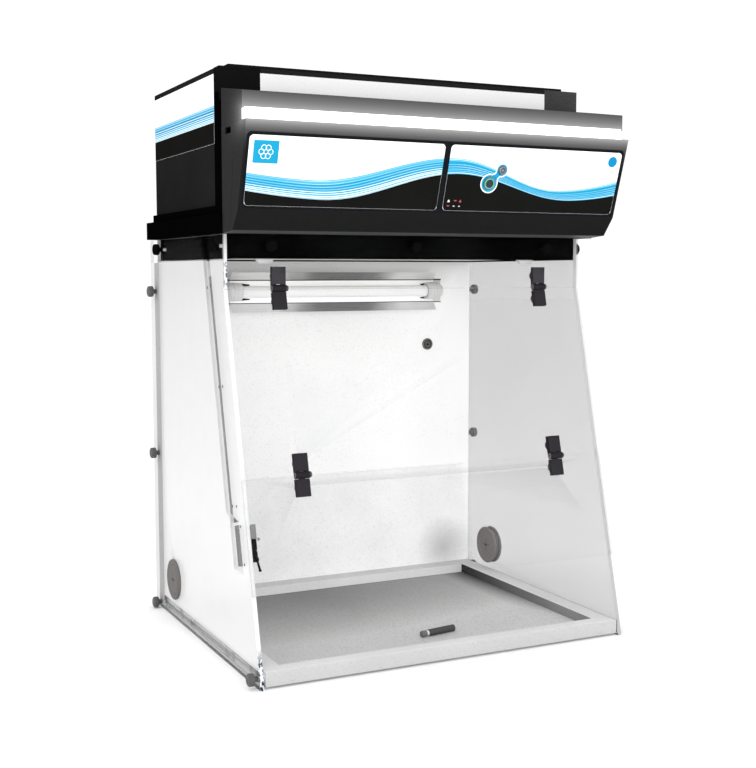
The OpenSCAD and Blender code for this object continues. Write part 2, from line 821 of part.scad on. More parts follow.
base_tray();
tray_feet();
tray_gaskets();
tray_stick();
back_panel();
side_panel_left();
side_panel_right();
cable_plug_left();
cable_plug_right();
thumb_knobs();
knob_studs();
front_strip();
upper_flap();
lower_flap();
top_hinge_fixed_leaves();
top_hinge_moving_leaves();
top_hinge_pins();
mid_hinge_upper_leaves();
mid_hinge_lower_leaves();
mid_hinge_pins();
strip_hinge_bolts();
upper_flap_hinge_bolts();
lower_flap_hinge_bolts();
sampling_port();
lamp_base();
lamp_reflector();
lamp_holders();
uv_tube();
conduit_cover();
conduit_screws();
switch_cover_plate();
switch_bracket();
microswitch_body();
switch_lever();
skirt_frame();
lower_flange();
upper_flange();
housing_shell();
side_foils();
front_top_panel();
corner_brackets();
top_cover();
exhaust_grille();
front_frame();
fascia_body();
fascia_top_bar();
light_bar();
foil_left();
foil_right();
start_button();
mode_button();
control_board();
fan_deck();
fan_motor();
motor_bridge();
fan_wheel();
carbon_filter();
pre_filter();
filter_clips();
power_inlet();
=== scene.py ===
import json
import math

import bmesh
import bpy
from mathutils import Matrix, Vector


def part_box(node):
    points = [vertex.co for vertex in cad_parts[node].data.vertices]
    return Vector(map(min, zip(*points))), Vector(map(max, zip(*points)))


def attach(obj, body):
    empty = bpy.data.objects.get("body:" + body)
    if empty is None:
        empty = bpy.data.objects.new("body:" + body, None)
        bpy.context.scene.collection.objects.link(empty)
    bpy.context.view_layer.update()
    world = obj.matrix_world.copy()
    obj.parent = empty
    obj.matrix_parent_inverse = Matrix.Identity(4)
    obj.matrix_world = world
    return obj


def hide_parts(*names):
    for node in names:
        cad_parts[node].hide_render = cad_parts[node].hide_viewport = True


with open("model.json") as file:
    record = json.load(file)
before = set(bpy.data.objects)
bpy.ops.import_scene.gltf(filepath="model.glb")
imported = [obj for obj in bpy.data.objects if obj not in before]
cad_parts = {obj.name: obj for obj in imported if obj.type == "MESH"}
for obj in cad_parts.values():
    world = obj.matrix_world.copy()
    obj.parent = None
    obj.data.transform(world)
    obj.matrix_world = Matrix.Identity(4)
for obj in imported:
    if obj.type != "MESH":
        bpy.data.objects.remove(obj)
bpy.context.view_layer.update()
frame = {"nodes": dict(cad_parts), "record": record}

scene = bpy.context.scene
nodes = frame["nodes"]
MM = 0.001
HALF_D = 340.0                      # half of the depth over the side panels
PANEL_X = 400.0                     # outer face of the side panels
PANEL_TOP = 776.0                   # where the skirt begins to cover them


def P(x, d, z):
    """A point in metres from millimetres: right of the middle, behind the front edge, up."""
    return Vector((x * MM, (d - HALF_D) * MM, z * MM))


# ---------- camera and light ----------

cam = bpy.data.objects.new("camera", bpy.data.cameras.new("camera"))
scene.collection.objects.link(cam)
cam.location = (-1.1538, -2.3782, 0.7483)
cam.rotation_euler = (math.radians(84.76), math.radians(0.07), math.radians(-25.91))
cam.data.sensor_fit = "HORIZONTAL"
cam.data.sensor_width = 36.0
cam.data.lens = 58.63
cam.data.shift_y = 0.0054
cam.data.clip_end = 60
scene.camera = cam
scene.view_settings.view_transform = "Standard"

world = bpy.data.worlds.new("studio")
world.use_nodes = True
world.node_tree.nodes["Background"].inputs["Color"].default_value = (1.0, 1.0, 1.0, 1)
world.node_tree.nodes["Background"].inputs["Strength"].default_value = 1.06
scene.world = world


def area(name, at, aim, size, power):
    """A rectangular soft light that faces a point."""
    data = bpy.data.lights.new(name, "AREA")
    data.shape = "RECTANGLE"
    data.size, data.size_y = size
    data.energy = power
    lamp = bpy.data.objects.new(name, data)
    lamp.location = at
    lamp.rotation_euler = (Vector(aim) - Vector(at)).to_track_quat("-Z", "Y").to_euler()
    scene.collection.objects.link(lamp)


area("key", (-2.6, -2.2, 2.9), (0, 0, 0.6), (1.8, 1.8), 30)
area("front", (0.2, -3.4, 1.0), (0, 0, 0.45), (2.4, 1.4), 34)
area("top", (0.2, 0.6, 3.4), (0, 0, 0.8), (2.0, 1.4), 20)

# ---------- materials ----------


class Graph:
    """A small helper that builds one node material."""

    def __init__(self, name):
        self.mat = bpy.data.materials.new(name)
        self.mat.use_nodes = True
        self.tree = self.mat.node_tree
        self.bsdf = self.tree.nodes["Principled BSDF"]
        self.coords = self.tree.nodes.new("ShaderNodeTexCoord")

    def add(self, kind, **inputs):
        """A new node with some of its inputs set."""
        node = self.tree.nodes.new(kind)
        for key, value in inputs.items():
            node.inputs[key.replace("_", " ")].default_value = value
        return node

    def link(self, a, b):
        self.tree.links.new(a, b)

    def noise(self, scale, detail=3.0, rough=0.5, stretch=None):
        """Noise in the part's own coordinates."""
        node = self.add("ShaderNodeTexNoise", Scale=scale, Detail=detail, Roughness=rough)
        source = self.coords.outputs["Object"]
        if stretch:
            mapping = self.add("ShaderNodeMapping", Scale=stretch)
            self.link(source, mapping.inputs["Vector"])
            source = mapping.outputs["Vector"]
        self.link(source, node.inputs["Vector"])
        return node.outputs["Fac"]

    def spread(self, fac, low, high, a, b):
        """A value from low to high turned into one from a to b, held at its ends."""
        node = self.add("ShaderNodeMapRange")
        for key, value in (("From Min", low), ("From Max", high), ("To Min", a), ("To Max", b)):
            node.inputs[key].default_value = value
        self.link(fac, node.inputs["Value"])
        return node.outputs["Result"]

    def mix(self, fac, a, b):
        """A colour between two colours or colour sockets."""
        node = self.tree.nodes.new("ShaderNodeMix")
        node.data_type = "RGBA"
        for slot, value in ((6, a), (7, b)):
            if isinstance(value, tuple):
                node.inputs[slot].default_value = (*value, 1)
            else:
                self.link(value, node.inputs[slot])
        self.link(fac, node.inputs[0])
        return node.outputs[2]

    def calc(self, kind, a, b=None, c=None):
        """One sum on numbers or sockets."""
        node = self.tree.nodes.new("ShaderNodeMath")
        node.operation = kind
        for slot, value in enumerate((a, b, c)):
            if isinstance(value, (int, float)):
                node.inputs[slot].default_value = value
            elif value is not None:
                self.link(value, node.inputs[slot])
        return node.outputs[0]

    def length(self, a, b):
        """Length of the slope over two sides."""
        squares = self.calc("ADD", self.calc("MULTIPLY", a, a), self.calc("MULTIPLY", b, b))
        return self.calc("SQRT", squares)

    def place(self):
        """X, Y and Z of the part's own coordinates, in metres."""
        node = self.tree.nodes.new("ShaderNodeSeparateXYZ")
        self.link(self.coords.outputs["Object"], node.inputs[0])
        return node.outputs

    def bump(self, height, distance, strength=1.0):
        """A fine relief on the surface."""
        node = self.add("ShaderNodeBump", Strength=strength, Distance=distance)
        self.link(height, node.inputs["Height"])
        self.link(node.outputs["Normal"], self.bsdf.inputs["Normal"])


def grey(value):
    """A neutral colour."""
    return (value, value, value)


def shade(c, k):
    """A colour made lighter or darker by a factor."""
    return tuple(min(1.0, v * k) for v in c)


def coated(name, color, rough=0.5, metal=0.0, spec=0.5, vary=0.12, grain=700, grain_vary=0.1,
           depth=0.00008, stretch=None, coat=0.0, wear=None, painted_glow=0.0):
    """Paint, plastic or metal: slow shade changes, a fine grain, bump from the same grain, and a
    painted glow where one is asked for.
    """
    g = Graph(name)
    slow = g.spread(g.noise(7, 2), 0.3, 0.7, 0, 1)
    fine = g.noise(grain, 2, 0.6, stretch)
    tone = g.mix(slow, shade(color, 1 - vary), shade(color, 1 + vary))
    flecks = g.spread(fine, 0.3, 0.7, 0, 1)
    dark = g.mix(slow, shade(color, (1 - vary) * (1 - grain_vary)), shade(color, 1 - grain_vary))
    tone = g.mix(flecks, dark, tone)
    if wear:
        geo = g.tree.nodes.new("ShaderNodeNewGeometry")
        edge = g.spread(geo.outputs["Pointiness"], 0.52, 0.60, 0, 0.6)
        tone = g.mix(edge, tone, wear)
    g.link(tone, g.bsdf.inputs["Base Color"])
    g.link(g.spread(fine, 0.3, 0.7, max(rough - 0.07, 0.02), min(rough + 0.07, 1.0)),
           g.bsdf.inputs["Roughness"])
    g.bsdf.inputs["Metallic"].default_value = metal
    g.bsdf.inputs["Specular IOR Level"].default_value = spec
    g.bsdf.inputs["Coat Weight"].default_value = coat
    # painted glow: the colour glows a little, as painted light
    if painted_glow:
        g.link(tone, g.bsdf.inputs["Emission Color"])
        g.bsdf.inputs["Emission Strength"].default_value = painted_glow
    g.bump(fine, depth, 0.6)
    return g.mat


def ink(name, color):
    """Even printing ink."""
    return coated(name, color, 0.4, spec=0.0, vary=0.02, grain=400, grain_vary=0.02, depth=0.00002)


def wall_shade(g, tone):
    """Back wall: a painted glow makes it brighter to the right, low down and a little at the top,
    and a painted shadow lays a soft grey patch low by the right corner.
    """
    shadow_x, shadow_z, shadow_reach, shadow_depth = 0.322, 0.070, 0.080, 0.25
    x, y, z = g.place()
    across = g.calc("SUBTRACT", x, shadow_x)
    up = g.calc("SUBTRACT", z, shadow_z)
    # painted shadow: a soft round grey patch on the wall's inner face
    painted_shadow = g.spread(g.length(across, up), 0.0, shadow_reach, shadow_depth, 0)
    inside = g.spread(y, 0.288, 0.289, 1, 0)
    tone = g.mix(g.calc("MULTIPLY", painted_shadow, inside), tone, grey(0.16))
    # painted glow, weaker inside the painted shadow
    painted_glow = g.calc("ADD", g.spread(x, -0.25, 0.38, 0.04, 0.18), g.spread(z, 0.12, 0.36, 0.10, 0))
    painted_glow = g.calc("ADD", painted_glow, g.spread(z, 0.60, 0.78, 0, 0.05))
    g.link(tone, g.bsdf.inputs["Emission Color"])
    g.link(g.calc("MULTIPLY", painted_glow, g.spread(painted_shadow, 0, shadow_depth, 1, 0)),
           g.bsdf.inputs["Emission Strength"])
    return tone


def floor_shade(g, tone):
    """Tray floor in painted shade: darker to the back and along the right wall."""
    inner_wall_x = 0.360
    x, y, z = g.place()
    depth = g.spread(g.calc("POWER", g.spread(y, -0.28, 0.22, 1, 0), 1.7), 0, 1, 0.385, 1.46)
    depth = g.calc("ADD", depth, g.spread(x, -0.05, 0.30, 0, 0.20))
    gap = g.calc("SUBTRACT", inner_wall_x, x)
    wall = g.spread(gap, 0.0, 0.070, 1, 0)
    rear = g.spread(y, -0.24, 0.20, 0.20, 0.95)
    dark = g.calc("SUBTRACT", 1, g.calc("MULTIPLY", wall, rear))
    return g.mix(g.calc("MULTIPLY", depth, dark), grey(0.006), tone)


def ledge_shade(g, tone):
    """Lit rim of the tray: painted as light as the wall where it passes under it."""
    x, y, z = g.place()
    return g.mix(g.spread(y, 0.246, 0.249, 0, 1), tone, grey(0.66))


def side_shade(g, tone):
    """Inner right wall of the tray in painted shade: nearly black at the back, grey at the front.
    """
    x, y, z = g.place()
    return g.mix(g.spread(y, 0.27, -0.22, 0, 1), grey(0.006), tone)


def speckled(name, color, fleck, rough=0.6, size=420, share=0.42, spec=0.3, shading=None):
    """Pale stone-like plastic or powder coat with fine grey flecks."""
    g = Graph(name)
    slow = g.spread(g.noise(5, 2), 0.3, 0.7, 0, 1)
    fine = g.noise(size, 1.5, 0.7)
    second = g.noise(size * 2.3, 1, 0.5)
    base = g.mix(slow, shade(color, 0.96), shade(color, 1.03))
    base = g.mix(g.spread(fine, share, share - 0.14, 0, 0.85), base, fleck)
    base = g.mix(g.spread(second, 0.62, 0.75, 0, 0.5), base, shade(color, 1.12))
    if shading:
        base = shading(g, base)
    g.link(base, g.bsdf.inputs["Base Color"])
    g.link(g.spread(fine, 0.3, 0.7, rough - 0.08, rough + 0.08), g.bsdf.inputs["Roughness"])
    g.bsdf.inputs["Specular IOR Level"].default_value = spec
    g.bump(fine, 0.00006, 0.5)
    return g.mat


def clear(name, body, edge, face_alpha, edge_alpha, flat_axis, screened=False, dust=0.01,
          dark_face_left_of=None):
    """Clear sheet with faint dust, an even haze and solid cut edges."""
    g = Graph(name)
    normal = g.tree.nodes.new("ShaderNodeSeparateXYZ")
    g.link(g.coords.outputs["Normal"], normal.inputs[0])
    is_face = g.spread(g.calc("ABSOLUTE", normal.outputs[flat_axis]), 0.80, 0.93, 0, 1)
    smear = g.spread(g.noise(9, 4, 0.6), 0.35, 0.7, -dust, dust)
    fine = g.spread(g.noise(330, 2, 0.7), 0.3, 0.7, -dust, dust)
    total = g.calc("ADD", g.calc("ADD", smear, face_alpha), fine)
    x, y, z = g.place()
    if screened:
        # less haze over the conduit and its plate, the skirt, the tray's rim and the wall's edge
        slope, plate_low, plate_high = 0.2493, 0.292, 0.296
        behind = g.calc("MULTIPLY_ADD", z, -slope, g.calc("ADD", y, HALF_D * MM))
        low = g.calc("SUBTRACT", behind, g.spread(z, plate_low, plate_high, 0.034, 0.064))
        high = g.calc("SUBTRACT", g.spread(z, plate_low, plate_high, 0.089, 0.1075), behind)
        band = g.spread(low, 0.0, 0.003, 0, 1)
        for more in (g.spread(high, 0.0, 0.003, 0, 1), g.spread(z, 0.194, 0.200, 0, 1)):
            band = g.calc("MULTIPLY", band, more)
        shape = g.spread(band, 0, 1, 1, 0.08)
        for more in (g.spread(z, 0.776, 0.780, 1, 0.02), g.spread(z, 0.032, 0.035, 0.15, 1),
                     g.spread(y, 0.284, 0.287, 1, 0.10)):
            shape = g.calc("MULTIPLY", shape, more)
        total = g.calc("MULTIPLY", total, shape)
    # the face tone shows in full left of this X and hardly right of it
    if dark_face_left_of is not None:
        total = g.calc("MULTIPLY", total, g.spread(x, dark_face_left_of - 0.01, dark_face_left_of + 0.01, 1, 0.12))
    alpha = g.tree.nodes.new("ShaderNodeMix")
    alpha.inputs[2].default_value = edge_alpha
    g.link(is_face, alpha.inputs[0])
    g.link(total, alpha.inputs[3])
    g.link(alpha.outputs[0], g.bsdf.inputs["Alpha"])
    edges = g.mix(g.noise(240, 2, 0.6, (1, 1, 0.15)), shade(edge, 0.86), edge)
    if screened:
        # painted refraction: dark blue marks at the ends of the front edge, where it bends dark
        # parts behind into view, and a face that darkens a little to the top
        refracted_dark = g.spread(g.noise(150, 2, 0.6, (1, 1, 0.6)), 0.49, 0.53, 0, 1)
        refracted_dark = g.calc("MULTIPLY", refracted_dark, g.spread(y, 0.0, 0.01, 1, 0))
        top_end = g.calc("MULTIPLY", g.spread(z, 0.726, 0.730, 0, 1),
                         g.spread(z, 0.770, 0.775, 1, 0))
        ends = g.calc("MAXIMUM", g.spread(z, 0.045, 0.075, 1, 0), top_end)
        edges = g.mix(g.calc("MULTIPLY", refracted_dark, ends), edges, (0.012, 0.035, 0.075))
        body = g.mix(g.spread(z, 0.25, 0.75, 0, 1), shade(body, 1.05), shade(body, 0.90))
    g.link(g.mix(is_face, edges, body), g.bsdf.inputs["Base Color"])
    g.link(g.spread(g.noise(30, 3), 0.3, 0.7, 0.25, 0.35), g.bsdf.inputs["Roughness"])
    g.bsdf.inputs["Specular IOR Level"].default_value = 0.0
    return g.mat


def lit(name, color, lit_color, reach=0.014):
    """Dark coat with a painted glow from the light bar: it is painted brighter close to the bar's
    long edges.
    """
    bar_z, bar_half, bar_y = 1.031, 0.010, -0.300
    g = Graph(name)
    x, y, z = g.place()
    up = g.calc("ABSOLUTE", g.calc("SUBTRACT", z, bar_z))
    up = g.calc("MAXIMUM", g.calc("SUBTRACT", up, bar_half), 0)
    behind = g.calc("MAXIMUM", g.calc("SUBTRACT", y, bar_y), 0)
    back = g.calc("MULTIPLY", behind, 0.55)
    near = g.calc("EXPONENT", g.calc("DIVIDE", g.length(up, back), -reach))
    fine = g.noise(560, 2, 0.6)
    base = g.mix(g.spread(fine, 0.3, 0.7, 0, 1), shade(color, 0.7), shade(color, 1.1))
    tone = g.mix(near, base, lit_color)
    g.link(tone, g.bsdf.inputs["Base Color"])
    # painted glow: the coat glows faintly, most near the bar
    g.link(tone, g.bsdf.inputs["Emission Color"])
    g.bsdf.inputs["Emission Strength"].default_value = 0.35
    g.link(g.spread(fine, 0.3, 0.7, 0.42, 0.56), g.bsdf.inputs["Roughness"])
    g.bsdf.inputs["Specular IOR Level"].default_value = 0.0
    g.bump(fine, 0.0001, 0.6)
    return g.mat


def mirror_sheet(name, dark, light):
    """Bright folded sheet with a painted reflection of the dark head above it along its middle
    length.
    """
    g = Graph(name)
    x, y, z = g.place()
    out = g.calc("ABSOLUTE", g.calc("SUBTRACT", x, 0.025))
    wob = g.spread(g.noise(12, 2), 0.3, 0.7, -0.02, 0.02)
    out = g.calc("ADD", out, wob)
    near = g.tree.nodes.new("ShaderNodeMapRange")
    near.interpolation_type = "SMOOTHERSTEP"
    for key, value in (("From Min", 0.040), ("From Max", 0.190), ("To Min", 0), ("To Max", 1)):
        near.inputs[key].default_value = value
    g.link(out, near.inputs["Value"])
    fine = g.noise(300, 2, 0.6, (0.04, 1, 1))
    tone = g.mix(near.outputs["Result"], dark, light)
    g.link(g.mix(g.spread(fine, 0.3, 0.7, 0, 0.12), tone, shade(dark, 0.8)),
           g.bsdf.inputs["Base Color"])
    g.link(g.spread(fine, 0.3, 0.7, 0.25, 0.4), g.bsdf.inputs["Roughness"])
    g.bsdf.inputs["Metallic"].default_value = 0.15
    g.bump(fine, 0.00005, 0.4)
    return g.mat


def glow(name, color, strength):
    """A lit diffuser."""
    g = Graph(name)
    fine = g.noise(60, 2)
    g.link(g.mix(fine, shade(color, 0.97), color), g.bsdf.inputs["Base Color"])
    g.bsdf.inputs["Emission Color"].default_value = (*color, 1)
    g.bsdf.inputs["Emission Strength"].default_value = strength
    g.bsdf.inputs["Roughness"].default_value = 0.4
    g.bump(fine, 0.00003, 0.3)
    return g.mat


M = {
    # tray and walls
    "tray": speckled("tray_white", grey(0.51), grey(0.41), size=330, share=0.45,
                     spec=0.1),
    # lit and shaded copies of the tray's white: painted light and shade across the floor, painted
    # light on the rim and the back inner wall, painted shade on the right inner wall
    "tray_floor_shaded": speckled("tray_floor_shaded", grey(0.62), grey(0.42), size=300,
                           share=0.47, spec=0.1, shading=floor_shade),
    "tray_top_lit": speckled("tray_top_lit", grey(0.70), grey(0.60), size=330, share=0.45,
                         spec=0.1, shading=ledge_shade),
    "tray_back_lit": speckled("tray_back_lit", grey(0.86), grey(0.74), size=330,
                          share=0.43, spec=0.1),
    "tray_side_shaded": speckled("tray_side_shaded", grey(0.27), grey(0.20), size=330,
                          share=0.45, spec=0.05, shading=side_shade),
    # the back wall's speckled white carries the painted glow and painted shadow of wall_shade
    "panel": speckled("panel_white", grey(0.90), grey(0.74), size=300, share=0.43,
                      spec=0.1, shading=wall_shade),
    # painted shade: a grey copy of the back panel's white for its side returns
    "panel_return_shade": coated("panel_return_shade", grey(0.36), 0.5, grain=400, spec=0.1),
    # strips on the left panel: painted shade of the wall's return, painted light of the sheet's
    # rear edge
    "return": speckled("return_painted_shade", grey(0.39), grey(0.33), size=90, spec=0.0),
    "rear_edge": speckled("rear_edge_painted_light", grey(0.70), grey(0.68), size=90,
                          spec=0.0),
    "coat_white": speckled("coat_white", grey(0.78), grey(0.62), size=500,
                           share=0.45, spec=0.1),
    # head and fascia
    "black": coated("black_metal", (0.0014, 0.0014, 0.0015), 0.6, spec=0.0, grain=900),
    "shell": coated("black_grain", grey(0.0185), 0.65, spec=0.0, grain=420,
                    grain_vary=0.45, vary=0.15, depth=0.00012),
    "rim": coated("black_rim", (0.0105, 0.0105, 0.0108), 0.65, spec=0.0, grain=420),
    # the fascia, its cheeks and the top bar carry a painted glow from the light bar
    "fascia": lit("fascia_black", (0.0105, 0.0106, 0.0110), grey(0.27), 0.0125),
    # lit copies: the fascia's cheeks and the chin's underside are painted lighter as painted light
    "cheek": lit("fascia_cheek", (0.023, 0.023, 0.0235), grey(0.17), 0.013),
    "chin_under_lit": coated("fascia_under_lit", (0.070, 0.070, 0.072), 0.5, spec=0.05, grain=560),
    "bar": lit("grey_metal", (0.022, 0.022, 0.023), grey(0.27), 0.017),
    "bracket": coated("bracket_grey", grey(0.055), 0.6, spec=0.0, grain=420,
                      grain_vary=0.4),
    # a darker copy of the bracket grey: painted shade
    "bracket_shaded": coated("bracket_shaded", grey(0.0075), 0.6, spec=0.0, grain=420,
                           grain_vary=0.4),
    # hinges, screws, plugs and the stick
    "hinge": coated("hinge_plastic", (0.0135, 0.0117, 0.0141), 0.5, spec=0.05, grain=800, vary=0.12,
                    wear=(0.060, 0.056, 0.064)),
    "hinge_side": coated("hinge_side", (0.050, 0.047, 0.053), 0.5, spec=0.1, grain=800, vary=0.12,
                         wear=(0.22, 0.22, 0.23)),
    "hinge_eye": coated("hinge_eye", (0.20, 0.195, 0.205), 0.5, spec=0.1, grain=800),
    "knob": coated("knob_plastic", grey(0.075), 0.5, spec=0.3, grain=700, vary=0.15,
                   wear=grey(0.16)),
    "knob_black": coated("knob_black", grey(0.0045), 0.55, spec=0.0, grain=700),
    "rubber": coated("rubber_black", (0.010, 0.010, 0.011), 0.8, spec=0.15, grain=500),
    "gasket": speckled("gasket_grey", grey(0.52), grey(0.17), size=26, share=0.50),
    "rubber_brown": coated("rubber_brown", (0.175, 0.164, 0.161), 0.7, spec=0.12, grain=420,
                           vary=0.1, grain_vary=0.22),
    "rubber_inner": coated("rubber_inner", (0.27, 0.255, 0.25), 0.7, spec=0.12, grain=420,
                           vary=0.1, grain_vary=0.22),
    "stick": coated("stick_plastic", (0.058, 0.058, 0.060), 0.5, grain=600, spec=0.3),
    "stick_grey": coated("stick_grey", grey(0.15), 0.5, grain=600, spec=0.3),
    "white": coated("white_plastic", (0.74, 0.74, 0.735), 0.4, vary=0.04, grain=500,
                    grain_vary=0.03),
    # lamp and interlock switch
    # the lamp channel's glow is painted light that lifts it out of the tube's shadow
    "channel": coated("lamp_channel", grey(0.90), 0.4, vary=0.02, grain=500,
                      grain_vary=0.02, spec=0.1, painted_glow=0.30),
    "fold_line": coated("fold_shadow", grey(0.030), 0.6, grain=90, grain_vary=0.5,
                        vary=0.3),
    "bright": mirror_sheet("reflector_metal", grey(0.19), grey(0.80)),
    "grey": coated("conduit_grey", grey(0.285), 0.5, vary=0.06, grain=420, grain_vary=0.08,
                   spec=0.1),
    "clip": coated("clip_grey", grey(0.55), 0.5, vary=0.06, grain=420, grain_vary=0.08),
    "plate": coated("plate_grey", grey(0.235), 0.5, vary=0.06, grain=420, grain_vary=0.08,
                    spec=0.1),
    # the conduit cover's side faces in their own grey: painted light and shade
    "conduit_edge": coated("conduit_edge", grey(0.33), 0.5, vary=0.2, grain=200, spec=0.1),
    "screw": coated("dark_screw", (0.045, 0.045, 0.047), 0.4, metal=0.6, grain=500),
    "switch": coated("switch_black", grey(0.003), 0.5, spec=0.06, grain=700),
    # inside the head
    "galvanised": coated("galvanised", (0.42, 0.43, 0.44), 0.45, metal=0.9, vary=0.12, grain=60),
    "motor": coated("motor_grey", (0.10, 0.11, 0.12), 0.5, grain=300, vary=0.15),
    "wheel": coated("wheel_grey", (0.48, 0.49, 0.50), 0.5, grain=300, vary=0.05),
    "pcb": coated("pcb_green", (0.012, 0.11, 0.045), 0.35, grain=200, vary=0.15),
    "media": coated("filter_paper", (0.78, 0.78, 0.74), 0.9, spec=0.1, grain=260, vary=0.05,
                    stretch=(1, 0.05, 1), grain_vary=0.2, depth=0.0006),
    "carbon": coated("carbon", (0.020, 0.020, 0.021), 0.85, grain=180, vary=0.2, grain_vary=0.5,
                     depth=0.0008),
    # print and buttons
    # the foil's faint glow is painted light
    "foil": coated("foil_white", grey(0.97), 0.35, spec=0.1, vary=0.008, grain=400,
                   grain_vary=0.01, depth=0.00002, painted_glow=0.05),
    "foil_edge": coated("foil_edge", (0.050, 0.050, 0.052), 0.4, spec=0.2, grain=400,
                        depth=0.00002),
    # painted shade of the recess round the foils
    "recess_shade": coated("foil_shadow", (0.0095, 0.0108, 0.0130), 0.6, spec=0.0, grain=300),
    "ink": coated("ink_black", (0.0088, 0.0088, 0.0084), 0.45, spec=0.0, grain=500,
                  depth=0.00002),
    "ink_grey": coated("ink_grey", grey(0.045), 0.45, spec=0.0, grain=500),
    "cyan": ink("ink_cyan", (0.016, 0.325, 0.55)),
    "cyan_mid": ink("ink_cyan_mid", (0.085, 0.45, 0.70)),
    "cyan_pale": ink("ink_cyan_pale", (0.28, 0.62, 0.82)),
    "blue": ink("ink_blue", (0.011, 0.24, 0.48)),
    "red": coated("ink_red", (0.50, 0.06, 0.075), 0.4, grain=400, depth=0.00002),
    "teal": coated("button_teal", (0.10, 0.44, 0.40), 0.3, vary=0.1, grain=300, spec=0.2),
    "teal_dark": coated("button_dark", (0.020, 0.033, 0.032), 0.3, vary=0.2, grain=300, spec=0.2),
    "chrome": coated("button_metal", (0.30, 0.30, 0.31), 0.22, metal=1.0, vary=0.05, grain=500,
                     stretch=(1, 1, 0.05)),
    # a darker copy of the button metal, painted for dark reflection on the mode button's dished
    # face; the bezels' sides take it too
    "chrome_dark": coated("button_metal_dark_reflection", (0.10, 0.10, 0.105), 0.25, metal=0.9, vary=0.1,
                          grain=500),
    "light": glow("light_diffuser", (1.0, 1.0, 1.0), 2.2),
    # the tube's faint glow is painted light
    "tube": coated("tube_white", grey(0.93), 0.3, vary=0.01, grain=200, grain_vary=0.01,
                   spec=0.1, painted_glow=0.05),
    # clear sheets
    "panel_left": clear("clear_left", grey(0.84), (0.93, 0.94, 0.95), 0.70, 0.90, 0, True),
    # the right sheet's grey face is a painted reflection of its grey surroundings
    "panel_right": clear("clear_right", grey(0.335), (0.47, 0.47, 0.475), 0.28, 0.95, 0,
                         dust=0.006),
    "glazing": clear("clear_upper", (0.55, 0.56, 0.57), (0.70, 0.71, 0.72), 0.004, 0.30, 1,
                     dust=0.004),
    "glazing_low": clear("clear_lower", grey(0.05), (0.42, 0.43, 0.44), 0.060, 0.35, 1,
                         dust=0.014, dark_face_left_of=0.068),
}

# ---------- mesh helpers ----------


def finish_piece(name, verts, faces, material, body, smooth=None):
    """A new piece that rides a body."""
    mesh = bpy.data.meshes.new(name)
    mesh.from_pydata([tuple(v) for v in verts], [], faces)
    mesh.validate()
    piece = bpy.data.objects.new(name, mesh)
    scene.collection.objects.link(piece)
    for m in material if isinstance(material, list) else [material]:
        mesh.materials.append(m)
    bm = bmesh.new()
    bm.from_mesh(mesh)
    bmesh.ops.recalc_face_normals(bm, faces=bm.faces)
    bm.to_mesh(mesh)
    bm.free()
    if smooth:
        mesh.shade_smooth()
        mesh.set_sharp_from_angle(angle=math.radians(smooth))
    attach(piece, body)
    return piece


def turned(profile, place, axis, steps=48, wave=None, caps=True):
    """Verts, faces and materials of a profile [(radius, height, material)] turned about an axis."""
    spin = Vector((0, 0, 1)).rotation_difference(Vector(axis).normalized()).to_matrix()
    verts, faces, mats = [], [], []
    for r, h, _ in profile:
        for i in range(steps):
            a = 2 * math.pi * i / steps
            k = wave(r, h, a) if wave else r
            verts.append(place + spin @ Vector((k * math.cos(a), k * math.sin(a), h)) * MM)
    for j in range(len(profile) - 1):
        for i in range(steps):
            n = (i + 1) % steps
            faces.append((j * steps + i, j * steps + n, (j + 1) * steps + n, (j + 1) * steps + i))
            mats.append(profile[j][2])
    for j in (0, len(profile) - 1):
        if caps and profile[j][0] > 0:
            faces.append(tuple(j * steps + i for i in range(steps)))
            mats.append(profile[max(j - 1, 0)][2])
    return verts, faces, mats


class Group:
    """Collects several shapes into one piece with material indices."""

    def __init__(self):
        self.verts, self.faces, self.mats = [], [], []

    def add(self, verts, faces, mats):
        base = len(self.verts)
        self.verts += list(verts)
        self.faces += [tuple(base + i for i in f) for f in faces]
        self.mats += list(mats)

    def make(self, name, materials, body, smooth=35):
        piece = finish_piece(name, self.verts, self.faces, materials, body, smooth)
        for poly, index in zip(piece.data.polygons, self.mats):
            poly.material_index = index
        return piece


def islands(node):
    """Lowest and highest corners of each separate solid in a CAD node."""
    bm = bmesh.new()
    bm.from_mesh(nodes[node].data)
    bmesh.ops.remove_doubles(bm, verts=bm.verts, dist=1e-6)
    seen, found = set(), []
    for v in bm.verts:
        if v.index in seen:
            continue
        stack, part = [v], []
        seen.add(v.index)
        while stack:
            w = stack.pop()
            part.append(w.co.copy())
            for e in w.link_edges:
                o = e.other_vert(w)
                if o.index not in seen:
                    seen.add(o.index)
                    stack.append(o)
        lo = Vector([min(c[i] for c in part) for i in range(3)])
        hi = Vector([max(c[i] for c in part) for i in range(3)])
        found.append((lo, hi))
    bm.free()
    return found


def body_of_node(node):
    """The moving body that a CAD node belongs to."""
    for name, members in frame["record"]["behaviour"]["bodies"].items():
        if node in members:
            return name


